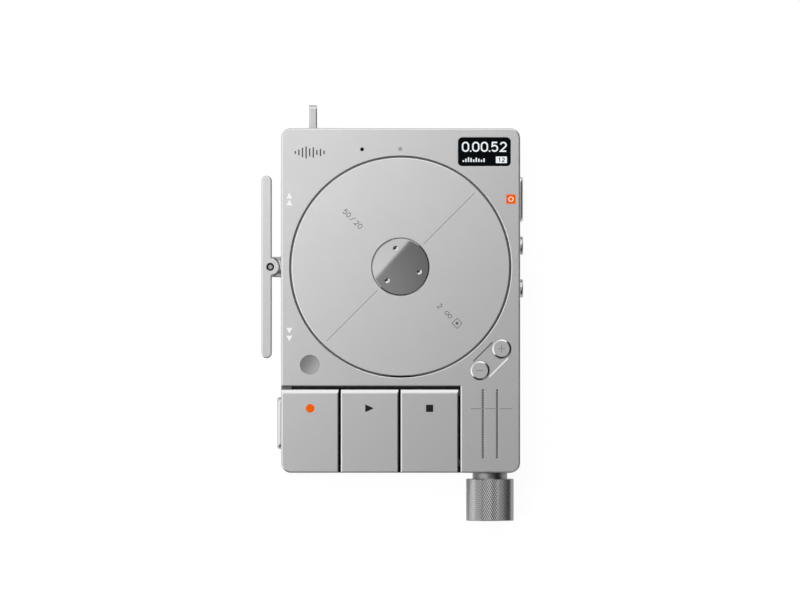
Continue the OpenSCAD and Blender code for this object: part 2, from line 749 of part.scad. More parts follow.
module bearing_housing() color(silver) translate([0, reel_y, 0]) difference() {
    union() {
        translate([0, 0, housing_z0]) cylinder(r = housing_r, h = housing_l);
        translate([0, 0, deck_z0 - housing_flange_t]) cylinder(r = housing_flange_r, h = housing_flange_t);
    }
    translate([0, 0, housing_z0 - cut]) cylinder(r = bush_r, h = housing_l + 2 * cut);
}

module shaft_bushes() color(brass) for (z = [housing_z0, housing_z1 - bush_l])
    translate([0, reel_y, z]) difference() {
        cylinder(r = bush_r, h = bush_l);
        translate([0, 0, -cut]) cylinder(r = shaft_r + run_gap, h = bush_l + 2 * cut);
    }

module motor_stator() color(steel) translate([0, reel_y, stator_z0]) linear_extrude(stator_t) difference() {
    union() {
        circle(stator_ring_r);
        for (i = [0:stator_teeth - 1]) rotate(360 / stator_teeth * i)
            translate([housing_r + 0.5, -tooth_w / 2]) square([stator_r - housing_r - 0.6, tooth_w]);
    }
    circle(housing_r);
}

module stator_coils() color(copper) for (i = [0:stator_teeth - 1])
    translate([0, reel_y, stator_z0]) rotate(360 / stator_teeth * i)
        translate([stator_ring_r + 0.5, 0, stator_t / 2]) difference() {
            translate([0, -tooth_w / 2 - coil_t, -stator_t / 2 - coil_t])
                cube([coil_l, tooth_w + 2 * coil_t, stator_t + 2 * coil_t]);
            translate([-cut, -tooth_w / 2, -stator_t / 2]) cube([coil_l + 2 * cut, tooth_w, stator_t]);
        }

module rotor_bell() color(steel) translate([0, reel_y, 0]) difference() {
    translate([0, 0, bell_plate_z - bell_plate_t])
        cylinder(r = bell_r, h = bell_z1 - bell_plate_z + bell_plate_t);
    translate([0, 0, bell_plate_z]) cylinder(r = bell_r0, h = body_t);
    translate([0, 0, bell_plate_z - bell_plate_t - cut]) cylinder(r = shaft_r, h = bell_plate_t + 2 * cut);
}

module rotor_magnet() color(dark) translate([0, reel_y, bell_z1 - magnet_h]) difference() {
    cylinder(r = bell_r0, h = magnet_h);
    translate([0, 0, -cut]) cylinder(r = magnet_r0, h = magnet_h + 2 * cut);
}

module reel_shaft() color(steel) pillar([0, reel_y], shaft_z0, shaft_z1, shaft_r);

module hub_screw_places() {
    translate([0, reel_y, 0])
        for (a = hub_screw_angles) rotate(a) translate([hub_screw_pcr, 0, 0]) children();
}

module reel_carrier() color(silver) difference() {
    translate([0, reel_y, flange_z0]) cylinder(r = flange_r, h = flange_t);
    translate([0, reel_y, flange_z0 - cut]) cylinder(r = shaft_r, h = flange_t + 2 * cut);
    hub_screw_places() translate([0, 0, flange_z0 + 0.4]) cylinder(r = hub_thread_r, h = flange_t, $fn = 24);
}

module reel_disc() color(silver) difference() {
    translate([0, reel_y, 0]) rotate_extrude($fn = 128) polygon([
        [shaft_r + spin_gap, reel_z0],
        [reel_r - reel_bevel[0], reel_z0], [reel_r, reel_z0 + reel_bevel[1]],
        [reel_r, reel_z1 - reel_bevel[1]], [reel_r - reel_bevel[0], reel_z1],
        [hub_r + seat_gap, reel_z1], [hub_r + seat_gap, hub_seat_z], [shaft_r + spin_gap, hub_seat_z]]);
    hub_screw_places() translate([0, 0, reel_z0 - cut])
        cylinder(r = hub_thread_r, h = reel_t + cut, $fn = 24);
}

module hub_cap() color(polished) difference() {
    top = hub_z1 + hub_dome + cut;
    slant = (top - hub_rim_z) * hub_rim[0] / hub_rim[1];
    translate([0, reel_y, 0]) intersection() {
        rotate_extrude($fn = 128) polygon([
            [0, hub_seat_z], [hub_r, hub_seat_z], [hub_r, hub_rim_z], [hub_r - slant, top], [0, top]]);
        translate([0, 0, hub_z1 + hub_dome - dome_r]) sphere(dome_r, $fn = 256);
    }
    hub_screw_places() translate([0, 0, hub_seat_z - cut])
        cylinder(r = hub_hole_r, h = hub_t + hub_dome + 2 * cut, $fn = 32);
}

module hub_screws() color(steel) hub_screw_places() difference() {
    union() {
        translate([0, 0, hub_seat_z])
            cylinder(r = hub_hole_r - run_gap, h = hub_screw_z1 - hub_seat_z, $fn = 32);
        translate([0, 0, flange_z0 + 0.5])
            cylinder(r = hub_thread_r - run_gap, h = hub_seat_z - flange_z0 - 0.4, $fn = 24);
    }
    translate([0, 0, hub_screw_z1 - hub_socket[2] + 0.01])
        cylinder(r1 = hub_socket[0], r2 = hub_socket[1], h = hub_socket[2], $fn = 32);
}

// Transport keys

// Cross-section of a key with its upper corners sloping, seen from the case's bottom edge.
module key_section() {
    polygon([[0, 0], [key_w, 0], [key_w, key_t - key_edge_drop], [key_w - key_edge, key_t],
             [key_edge, key_t], [0, key_t - key_edge_drop]]);
}

// Side of a key, with its upper edge curving down to the hinge end.
module key_side() {
    square([key_l, key_t - key_band_drop]);
    square([key_l - key_band, key_t]);
    intersection() {
        translate([key_l - key_band, key_t - key_round]) circle(key_round);
        square([key_l, key_t]);
    }
}

module key_outline(i) {
    intersection() {
        translate([key_x[i], key_top_y, key_z0]) rotate([90, 0, 0]) linear_extrude(key_l) key_section();
        translate([key_x[i], -half_h, key_z0]) along_x(key_w) key_side();
        case_envelope();
    }
}

module key_hinge(i) {
    mid = key_x[i] + key_w / 2 - knuckle_w / 2;
    translate([mid, key_top_y - key_wall, hinge_z - arm_t / 2])
        cube([knuckle_w, key_wall + hinge_back, arm_t]);
    translate([mid, hinge_y, hinge_z]) rotate([0, 90, 0]) cylinder(r = knuckle_r, h = knuckle_w);
}

module transport_key(i) color(silver) difference() {
    union() {
        difference() {
            key_outline(i);
            translate([key_x[i] + key_wall, -half_h + key_wall, key_z0 - cut])
                cube([key_w - 2 * key_wall, key_l - 2 * key_wall, key_t - key_skin + cut]);
        }
        key_hinge(i);
        pillar([key_x[i] + key_w / 2, key_top_y - actuator_back],
               actuator_z, body_t - key_skin + 0.1, actuator_r);
    }
    translate([key_x[i], hinge_y, hinge_z]) rotate([0, 90, 0]) cylinder(r = rod_r + run_gap, h = key_w);
}

module key_hinge_rod() color(steel)
    translate([tray_x0, hinge_y, hinge_z]) rotate([0, 90, 0]) cylinder(r = rod_r, h = tray_x1 - tray_x0);

// Middles of the tray's ears, which hold the hinge rod at its ends and between the keys.
function ear_places() =
    [tray_x0 + ear_w / 2, key_x[1] - key_gap / 2, key_x[2] - key_gap / 2, tray_x1 - ear_w / 2];

module key_tray() color(dark) difference() {
    union() {
        translate([tray_x0, tray_y0, tray_z0]) cube([tray_x1 - tray_x0, tray_y1 - tray_y0, tray_t]);
        for (x = ear_places()) translate([x - ear_w / 2, hinge_y - knuckle_r, tray_z0])
            cube([ear_w, 2 * knuckle_r, hinge_z + rod_r + 0.6 - tray_z0]);
        for (i = [0:2]) translate([key_x[i] + rim_inset, tray_y0, tray_z0])
            cube([key_w - 2 * rim_inset, rim_t, rim_h + tray_t]);
        translate([tray_x0, tray_y0, tray_z0]) cube([rim_t, key_top_y - rim_inset - tray_y0, rim_h + tray_t]);
        translate([ledge[0] - half_w + seat_gap, key_top_y + ledge_gap, strip_z0])
            cube([tray_x1 + half_w - ledge[0] - seat_gap, strip[0], strip[1]]);
    }
    translate([tray_x0 - cut, hinge_y, hinge_z]) rotate([0, 90, 0])
        cylinder(r = rod_r, h = tray_x1 - tray_x0 + 2 * cut);
    for (p = tray_posts) pillar(p, tray_z0 - cut, tray_z1 + cut, screw_r + run_gap);
}

module tray_screws() color(steel) for (p = tray_posts) {
    pillar(p, tray_z0 - tray_screw_l + 0.2, tray_z1, screw_r);
    pillar(p, tray_z1, tray_z1 + 0.5, screw_head_r - 0.1);
}

module key_spring(i) color(steel)
    translate([key_x[i] + key_w / 2, key_top_y - spring_back, tray_z1])
        coil_spring(spring_r, spring_wire, body_t - key_skin - tray_z1 - stop_gap, spring_turns);

module key_switches() color(dark) for (i = [0:2])
    translate([key_x[i] + key_w / 2, key_top_y - actuator_back, tray_z1]) {
        translate([-switch_w / 2, -switch_w / 2, 0]) cube([switch_w, switch_w, 1]);
        cylinder(r = plunger_r, h = actuator_z - actuator_drop - stop_gap - tray_z1);
    }

// Rocker

module lug_outline() {
    end_x = rocker_x1 + lug_end_gap;
    flare = lug_root - lug_half;
    translate(rocker_at) circle(lug_r);
    translate([rocker_at[0], rocker_at[1] - lug_r]) square([-half_w - rocker_at[0], 2 * lug_r]);
    translate([0, rocker_at[1]]) polygon([
        [end_x, -lug_half], [-half_w - flare, -lug_half], [-half_w, -lug_root], [-in_x, -lug_root],
        [-in_x, lug_root], [-half_w, lug_root], [-half_w - flare, lug_half], [end_x, lug_half]]);
}

// Round stud on the case's side, cut clear of the lever's boss.
module bracket_stud() {
    difference() {
        translate([-half_w - stud_l, rocker_at[1], mid_z]) rotate([0, 90, 0])
            cylinder(r = lug_half, h = stud_l);
        pillar(rocker_at, 0, body_t, boss_r + stud_gap);
    }
}

module rocker_bracket() color(silver) difference() {
    union() {
        translate([0, 0, mid_z - lug_t / 2]) linear_extrude(lug_t) lug_outline();
        bracket_stud();
        translate([-in_x, rocker_at[1] - bracket_plate[1] / 2, mid_z - bracket_plate[2] / 2])
            cube(bracket_plate);
    }
    pillar(rocker_at, rocker_z0 - cut, mid_z + rocker_t, pivot_r);
}

// Fillet between the side of the lever and its boss, above the pivot.
module boss_fillet() {
    x = rocker_x1 - rocker_at[0] + boss_fillet_r;
    y = sqrt(pow(boss_r + boss_fillet_r, 2) - x * x);
    difference() {
        polygon([[x - boss_fillet_r - fillet_bite, 0], [x, y] * boss_r / (boss_r + boss_fillet_r), [x, y],
                 [x - boss_fillet_r - fillet_bite, y]]);
        translate([x, y]) circle(boss_fillet_r);
    }
}

// Front half of the lever, standing on z = 0.
module lever_half() {
    half_t = rocker_t / 2;
    translate([(rocker_x0 + rocker_x1) / 2, rocker_at[1], 0]) rotate(90)
        rounded_stadium(rocker_l, rocker_w, half_t, rocker_round);
    translate([rocker_at[0], rocker_at[1], 0]) {
        rotate_extrude() rim_section(boss_r, half_t, rocker_round);
        linear_extrude(half_t - rocker_round) {
            boss_fillet();
            mirror([0, 1]) boss_fillet();
        }
    }
}

module rocker_lever() color(silver) difference() {
    translate([0, 0, mid_z]) {
        lever_half();
        mirror([0, 0, 1]) lever_half();
    }
    translate([rocker_at[0] - lug_r - 0.3, rocker_at[1] - boss_r - 1.5, mid_z - lug_t / 2 - lug_clear])
        cube([3 * boss_r, 2 * boss_r + 3, lug_t + 2 * lug_clear]);
    pillar(rocker_at, rocker_z0 - cut, mid_z + rocker_t, pivot_r + run_gap);
    pillar(rocker_at, rocker_z0 + rocker_t - counterbore_depth, mid_z + rocker_t, counterbore_r);
}

module rocker_pivot_screw() color(steel) translate([rocker_at[0], rocker_at[1], 0]) difference() {
    union() {
        translate([0, 0, rocker_z0 + 0.3]) cylinder(r = pivot_r, h = rocker_t - pivot_head_t);
        translate([0, 0, rocker_z0 + rocker_t - pivot_head_t]) cylinder(r = pivot_head_r, h = pivot_head_t);
    }
    translate([0, 0, rocker_z0 + rocker_t - pivot_socket_depth])
        cylinder(r = pivot_socket_r, h = cut, $fn = 6);
}

// Push buttons

module button_flange(at) {
    pillar(at, button_z0, button_z0 + button_flange_t, button_flange_r);
}

module volume_button(at) {
    button_flange(at);
    h = body_t + button_proud - button_z0;
    translate([at[0], at[1], button_z0]) rotate_extrude() polygon([
        [0, 0], [button_r, 0], [button_r, h - button_edge_drop], [button_r - button_edge, h], [0, h]]);
}

module plus_button() color(silver) volume_button(plus_at);

module minus_button() color(silver) volume_button(minus_at);

module mode_button() color([0.6, 0.6, 0.6]) difference() {
    union() {
        button_flange(mode_at);
        pillar(mode_at, button_z0, body_t, button_r);
    }
    dish_r = (button_r * button_r + mode_dish * mode_dish) / (2 * mode_dish);
    translate([mode_at[0], mode_at[1], body_t - mode_dish + dish_r]) sphere(dish_r, $fn = 128);
}

module volume_board() color(board_green) translate([0, 0, front_board_z]) linear_extrude(board_t) {
    translate((plus_at + minus_at) / 2) rotate(45) stadium(button_pitch + button_d, button_d);
    translate(volume_boss) circle(board_boss_r + board_boss_edge);
    translate((plus_at + minus_at + 2 * volume_boss) / 4)
        rotate(-45) square(board_neck, center = true);
}

module mode_board() color(board_green) translate([0, 0, front_board_z]) linear_extrude(board_t) {
    translate(mode_at) circle(button_r);
    translate(mode_boss) circle(board_boss_r + board_boss_edge);
    translate((mode_at + mode_boss) / 2) rotate(atan2(mode_boss[1] - mode_at[1], mode_boss[0] - mode_at[0]))
        square(board_neck, center = true);
}

module front_switches() color(dark) for (p = [plus_at, minus_at, mode_at])
    translate([p[0], p[1], front_switch_z]) tact_switch();

// A right-side key at height y: its face outside the wall and its lip inside.
module side_key(y, z, l, w, proud) {
    translate([in_x - seat_gap - side_flange_t, y, z]) rotate([90, 0, 90]) {
        linear_extrude(side_flange_t) stadium(l + 2 * side_lip, w + 2 * side_lip);
        rounded_stadium(l, w, side_flange_t + seat_gap + wall_t + proud, side_round);
    }
}

module side_button(y) {
    translate([in_x - seat_gap - side_flange_t, y, mid_z]) rotate([90, 0, 90]) {
        cylinder(r = side_button_d / 2 + side_lip, h = side_flange_t);
        rotate_extrude()
            rim_section(side_button_d / 2, side_flange_t + seat_gap + wall_t + side_proud, side_button_round);
    }
}

module memo_key() color(silver) side_key(memo_y, mid_z, memo_l, side_key_w, side_proud);

module upper_side_button() color(silver) side_button(side_button_ys[0]);

module lower_side_button() color(silver) side_button(side_button_ys[1]);

module left_side_key() color(silver)
    mirror([1, 0, 0]) side_key(left_key_y, left_key_z, left_key_l, side_key_w, left_proud);

module right_switch_board() color(board_green)
    translate([side_board_x, right_board_y[0], cover_t])
        cube([board_t, right_board_y[1] - right_board_y[0], right_board_z1 - cover_t]);

module left_switch_board() color(board_green)
    translate([-side_board_x - board_t, left_key_y - left_key_l / 2, cover_t])
        cube([board_t, left_key_l, left_board_h]);

module side_switch(y, z) {
    translate([side_board_x + board_t, y, z]) rotate([0, 90, 0]) tact_switch();
}

module side_switches() color(dark) {
    for (y = [memo_y, side_button_ys[0], side_button_ys[1]]) side_switch(y, mid_z);
    mirror([1, 0, 0]) side_switch(left_key_y, left_key_z);
}

// Display, microphone, lamp and meters

module display_window() color("black") translate([display_at[0], display_at[1], panel_z])
    linear_extrude(panel_t - window_inset)
        rounded_rect(display_w - 2 * slot_gap, display_h - 2 * slot_gap, display_r - slot_gap);

module display_module() color(dark)
    translate([display_at[0], display_at[1], panel_z - module_size[2] / 2]) cube(module_size, center = true);

module sensor_board() color(board_green)
    translate([(mic_at[0] + lamp_at[0] - sensor_board[0]) / 2, mic_at[1] - sensor_board[1] / 2 + sensor_shift,
               panel_z - mic_t - sensor_board[2]])
        cube(sensor_board);

module microphone() color(steel) difference() {
    pillar(mic_at, panel_z - mic_t, panel_z, mic_r);
    pillar(mic_at, panel_z - 0.5, panel_z + cut, mic_hole_r);
}

module status_lamp() color([0.8, 0.8, 0.78]) {
    pillar(lamp_at, panel_z - mic_t, body_t - 0.05, lamp_r);
    pillar(lamp_at, panel_z - mic_t, panel_z, 2 * lamp_r);
}

// A bar behind each row of meter holes, with a pin in each hole.
module meter_light_guides() color(dark) {
    for (x = meter_xs) translate([x, meter_top - meter_l / 2, panel_z - guide_t])
        linear_extrude(guide_t) rotate(90) stadium(meter_l + guide_w, guide_w);
    meter_pins(meter_hole_d / 2 - run_gap, panel_z - guide_t / 2, body_t - guide_sink);
}

module meter_board() color(board_green)
    translate([knob_x, meter_top - meter_l / 2, panel_z - guide_t - meter_board_t / 2])
        cube([meter_rows + guide_w, meter_l + guide_w, meter_board_t], center = true);

// Level knob

module along_knob(y0, l, r) {
    translate([knob_x, y0, mid_z]) rotate([-90, 0, 0]) cylinder(r = r, h = l);
}

module level_knob() color(polished) difference() {
    translate([knob_x, knob_y1, mid_z]) rotate([90, 0, 0]) rotate_extrude() polygon([
        [0, 0], [knob_r - knob_bevel, 0], [knob_r, knob_bevel], [knob_r, knob_l - knob_bevel],
        [knob_r - knob_bevel, knob_l], [0, knob_l]]);
    along_knob(knob_y1 - knob_bore_l, knob_bore_l + cut, knob_shaft_r);
}

module knob_shaft() color(steel) {
    along_knob(knob_y1, neck_l - neck_gap, neck_d / 2);
    along_knob(knob_y1 - knob_bore_l + 0.2, pot_y0 + pot_bite - knob_y1 + knob_bore_l - 0.2, knob_shaft_r);
}

module knob_bush() color(brass) difference() {
    union() {
        along_knob(-half_h, wall_t, knob_bush_r);
        along_knob(-in_y, knob_bush_lip, knob_bush_r + knob_bush_edge);
    }
    along_knob(-half_h - cut, wall_t + knob_bush_lip + 2 * cut, knob_shaft_r + run_gap);
}

module level_control() color(dark) difference() {
    union() {
        along_knob(pot_y0, pot_neck_l + 0.1, pot_neck_r);
        translate([knob_x - pot_size[0] / 2, pot_y0 + pot_neck_l, mid_z - pot_size[2] / 2]) cube(pot_size);
    }
    along_knob(pot_y0 - cut, pot_bite + 0.2 + cut, knob_shaft_r + run_gap);
}

// Strap loop

module loop_outline() {
    difference() {
        translate([0, (loop_h - loop_r) / 2]) square([loop_d, loop_h - loop_r], center = true);
        translate([-loop_d / 2 + loop_bar, -cut]) square([loop_d - 2 * loop_bar, loop_h - loop_bar + cut]);
    }
    translate([0, loop_h - loop_bar / 2]) square([loop_d - 2 * loop_r, loop_bar], center = true);
    for (s = [-1, 1]) translate([s * (loop_d / 2 - loop_r), loop_h - loop_r]) intersection() {
        circle(loop_r);
        translate([s > 0 ? 0 : -loop_r, 0]) square(loop_r);
    }
    for (s = [-1, 1]) translate([s * (loop_d - loop_bar) / 2, -(wall_t + loop_retainer_t) / 2])
        square([loop_bar, wall_t + loop_retainer_t], center = true);
}

module strap_loop() color(silver) translate([loop_x, half_h, mid_z]) intersection() {
    translate([-loop_w / 2, 0, 0]) along_x(loop_w) mirror([1, -1]) loop_outline();
    translate([0, -loop_h, 0]) rotate([-90, 0, 0])
        linear_extrude(2 * loop_h + cut) rounded_rect(loop_w, loop_d, loop_round);
    translate([0, 0, -loop_d / 2 - cut])
        linear_extrude(loop_d + 2 * cut) rounded_rect(loop_w, 2 * loop_h, loop_round);
}

module strap_loop_retainer() color(steel) difference() {
    translate([loop_x, in_y - loop_retainer_t / 2, mid_z])
        cube([loop_w + 2 * loop_retainer_lip[0], loop_retainer_t, loop_d + 2 * loop_retainer_lip[1]],
             center = true);
    for (s = [-1, 1]) translate([loop_x, in_y - loop_retainer_t / 2, mid_z + s * (loop_d - loop_bar) / 2])
        cube([loop_w, loop_retainer_t + 2 * cut, loop_bar], center = true);
}

// Sockets, boards, battery and speaker

module line_sockets() color(dark) for (x = jack_xs) difference() {
    union() {
        translate([x, in_y - cut, jack_z]) rotate([-90, 0, 0]) cylinder(r = jack_nose_r, h = wall_t + cut);
        translate([x - jack_size[0] / 2, half_h - jack_depth - jack_wall, jack_z - jack_size[1] / 2])
            cube([jack_size[0], in_y - half_h + jack_depth + jack_wall, jack_size[1]]);
    }
    translate([x, half_h - jack_depth, jack_z]) rotate([-90, 0, 0])
        cylinder(r = jack_bore_d / 2, h = jack_depth + cut);
}

module usb_socket() color(steel) translate([usb_x, half_h - usb_size[2], usb_z]) rotate([-90, 0, 0]) {
    difference() {
        linear_extrude(usb_size[2]) stadium(usb_size[0], usb_size[1]);
        translate([0, 0, usb_back]) linear_extrude(usb_size[2])
            stadium(usb_size[0] - 2 * usb_shell, usb_size[1] - 2 * usb_shell);
    }
    translate([-usb_tongue[0] / 2, -usb_tongue[1] / 2, usb_back / 2])
        cube([usb_tongue[0], usb_tongue[1], usb_tongue[2]]);
}

module main_board() color(board_green) translate([0, 0, board_z0]) linear_extrude(main_board_t) difference() {
    translate([-board_x, board_y[0]]) square([2 * board_x, board_y[1] - board_y[0]]);
    translate([0, reel_y]) circle(board_hole_r);
}

module battery() color([0.35, 0.36, 0.38])
    translate([(battery_x[0] + battery_x[1]) / 2, (battery_y[0] + battery_y[1]) / 2, cover_t])
        linear_extrude(battery_t) rounded_rect(battery_x[1] - battery_x[0], battery_y[1] - battery_y[0], 1.5);

module speaker() color(dark) pillar(speaker_at, cover_t, cover_t + speaker_t, speaker_r);

front_case();
rear_cover();
cover_screws();
reel_deck();
deck_screws();
bearing_housing();
shaft_bushes();
motor_stator();
stator_coils();
main_board();
battery();
speaker();
display_window();
display_module();
sensor_board();
microphone();
status_lamp();
meter_light_guides();
meter_board();
key_tray();
key_hinge_rod();
tray_screws();
key_spring(0);  // record_key_spring
key_spring(1);  // play_key_spring
key_spring(2);  // stop_key_spring
key_switches();
rocker_bracket();
rocker_pivot_screw();
volume_board();
mode_board();
front_switches();
right_switch_board();
left_switch_board();
side_switches();
level_control();
knob_bush();
line_sockets();
usb_socket();
strap_loop();
strap_loop_retainer();
reel_disc();
hub_cap();
hub_screws();
reel_shaft();
reel_carrier();
rotor_bell();
rotor_magnet();
rocker_lever();
transport_key(0);  // record_key
transport_key(1);  // play_key
transport_key(2);  // stop_key
plus_button();
minus_button();
mode_button();
memo_key();
upper_side_button();
lower_side_button();
left_side_key();
level_knob();
knob_shaft();
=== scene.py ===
"""Looks of the handheld recorder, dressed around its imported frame.

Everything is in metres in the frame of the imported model: the recorder lies on its back with its front
face up, +X to its right and +Y to its top edge. A size written in millimetres is multiplied by MM.
"""

import math

import bpy
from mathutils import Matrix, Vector


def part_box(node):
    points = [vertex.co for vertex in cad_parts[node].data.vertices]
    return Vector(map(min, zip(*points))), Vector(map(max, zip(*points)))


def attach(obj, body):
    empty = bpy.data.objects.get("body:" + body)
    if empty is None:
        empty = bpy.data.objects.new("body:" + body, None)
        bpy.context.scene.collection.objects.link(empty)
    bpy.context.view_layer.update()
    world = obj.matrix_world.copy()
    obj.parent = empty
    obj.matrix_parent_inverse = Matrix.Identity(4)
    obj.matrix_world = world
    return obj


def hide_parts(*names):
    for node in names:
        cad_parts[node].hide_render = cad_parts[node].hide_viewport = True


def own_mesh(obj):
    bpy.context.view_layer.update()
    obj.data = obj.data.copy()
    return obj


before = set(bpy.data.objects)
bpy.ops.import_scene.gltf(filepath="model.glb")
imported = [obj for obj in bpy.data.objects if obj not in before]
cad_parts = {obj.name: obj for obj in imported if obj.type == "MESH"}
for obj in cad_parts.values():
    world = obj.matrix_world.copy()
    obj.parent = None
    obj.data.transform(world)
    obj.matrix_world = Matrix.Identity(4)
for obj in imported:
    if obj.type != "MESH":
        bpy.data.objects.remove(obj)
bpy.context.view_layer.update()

MM = 0.001
scene = bpy.context.scene


# Places read from the frame

def middle(node):
    """Centre of a CAD node's box."""
    low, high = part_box(node)
    return (low + high) / 2


def top_of(node):
    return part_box(node)[1].z


FACE_Z = top_of("front_case")
REEL = middle("reel_disc")
REEL_Z = top_of("reel_disc")


# Materials

def new_material(name):
    """An empty node material and its main shader."""
    made = bpy.data.materials.new(name)
    made.use_nodes = True
    return made, made.node_tree.nodes["Principled BSDF"]


def noise(material, size, detail=2.0, stretch=(1, 1, 1)):
    """Noise in the piece's own space, with features of the given size in metres."""
    nodes, links = material.node_tree.nodes, material.node_tree.links
    place = nodes.new("ShaderNodeTexCoord")
    mapping = nodes.new("ShaderNodeMapping")
    mapping.inputs["Scale"].default_value = stretch
    made = nodes.new("ShaderNodeTexNoise")
    made.inputs["Scale"].default_value = 1 / size
    made.inputs["Detail"].default_value = detail
    links.new(place.outputs["Object"], mapping.inputs["Vector"])
    links.new(mapping.outputs["Vector"], made.inputs["Vector"])
    return made.outputs["Fac"]


def vary_colour(material, shader, fac, dark, light):
    """Runs the base colour between two close tones."""
    mix = material.node_tree.nodes.new("ShaderNodeMix")
    mix.data_type = "RGBA"
    mix.inputs["A"].default_value = (*dark, 1)
    mix.inputs["B"].default_value = (*light, 1)
    material.node_tree.links.new(fac, mix.inputs["Factor"])
    material.node_tree.links.new(mix.outputs["Result"], shader.inputs["Base Color"])


def vary_roughness(material, shader, fac, low, high):
    spread = material.node_tree.nodes.new("ShaderNodeMapRange")
    spread.inputs["To Min"].default_value = low
    spread.inputs["To Max"].default_value = high
    material.node_tree.links.new(fac, spread.inputs["Value"])
    material.node_tree.links.new(spread.outputs["Result"], shader.inputs["Roughness"])


def add_bump(material, shader, fac, height, strength):
    bump = material.node_tree.nodes.new("ShaderNodeBump")
    bump.inputs["Distance"].default_value = height
    bump.inputs["Strength"].default_value = strength
    material.node_tree.links.new(fac, bump.inputs["Height"])
    material.node_tree.links.new(bump.outputs["Normal"], shader.inputs["Normal"])
    return bump


# Size of the broad mottle in grains, and how far the roughness varies over it
MOTTLE = 60
ROUGHNESS_SPREAD = 0.03


def grained(name, colour, spread, roughness, grain, height, strength, metallic=1.0, stretch=(1, 1, 1)):
    """A finish whose colour, roughness and relief all come from a fine grain and a broad mottle."""
    made, shader = new_material(name)
    shader.inputs["Metallic"].default_value = metallic
    fine = noise(made, grain, 2.0, stretch)
    broad = noise(made, MOTTLE * grain, 3.0, stretch)
    dark = [c * (1 - spread) for c in colour]
    light = [min(1, c * (1 + spread)) for c in colour]
    vary_colour(made, shader, fine, dark, light)
    vary_roughness(made, shader, broad, roughness - ROUGHNESS_SPREAD, roughness + ROUGHNESS_SPREAD)
    add_bump(made, shader, fine, height, strength)
    return made


def ramp(tree, stops, value):
    """A grey ramp with stops of place and level, driven by a value."""
    made = tree.nodes.new("ShaderNodeValToRGB")
    made.color_ramp.interpolation = "EASE"
    while len(made.color_ramp.elements) < len(stops):
        made.color_ramp.elements.new(0.5)
    for stop, (place, level) in zip(made.color_ramp.elements, stops):
        stop.position = place
        stop.color = (level, level, level, 1)
    tree.links.new(value, made.inputs["Fac"])
    return made.outputs["Color"]


SLOPE_ROUGHNESS = 0.24
CHAMFER_ROUGHNESS = 0.18
# Share of the face's own roughness, by the upright part of the surface's direction
FLATNESS = ((0.05, 1), (0.15, 0), (0.985, 0), (0.998, 1))


def smooth_slopes(material, shader, roughness):
    """Lowers the roughness between a face and a side wall, as on cut and rounded metal edges."""
    nodes, links = material.node_tree.nodes, material.node_tree.links
    place = nodes.new("ShaderNodeTexCoord")
    parts = nodes.new("ShaderNodeSeparateXYZ")
    size = nodes.new("ShaderNodeMath")
    size.operation = "ABSOLUTE"
    mix = nodes.new("ShaderNodeMix")
    mix.inputs["A"].default_value = roughness
    flat = shader.inputs["Roughness"].links[0].from_socket
    links.new(place.outputs["Normal"], parts.inputs["Vector"])
    links.new(parts.outputs["Z"], size.inputs[0])
    links.new(ramp(material.node_tree, FLATNESS, size.outputs[0]), mix.inputs["Factor"])
    links.new(flat, mix.inputs["B"])
    links.new(mix.outputs["Result"], shader.inputs["Roughness"])


EDGE_SOFTNESS = 0.25 * MM
EDGE_SAMPLES = 6


def soften_edges(material):
    """Rounds the shading over sharp edges, below the bump."""
    nodes, links = material.node_tree.nodes, material.node_tree.links
    rounded = nodes.new("ShaderNodeBevel")
    rounded.samples = EDGE_SAMPLES
    rounded.inputs["Radius"].default_value = EDGE_SOFTNESS
    links.new(rounded.outputs["Normal"], nodes["Bump"].inputs["Normal"])


def blasted(name, colour, grain):
    """Metal with an even satin face."""
    return grained(name, colour, 0.03, 0.38, grain, 0.004 * MM, 0.3)


def crisp_edged(name, colour, grain, roughness):
    """Blasted metal whose edges are cut smooth and stay crisp."""
    made = blasted(name, colour, grain)
    smooth_slopes(made, made.node_tree.nodes["Principled BSDF"], roughness)
    return made


def cut_edged(name, colour, grain):
    """Blasted metal whose edges are cut smooth and a little round."""
    made = crisp_edged(name, colour, grain, SLOPE_ROUGHNESS)
    soften_edges(made)
    return made


HUB_DOME = 0.3 * MM
LOOKS_UP = 0.95


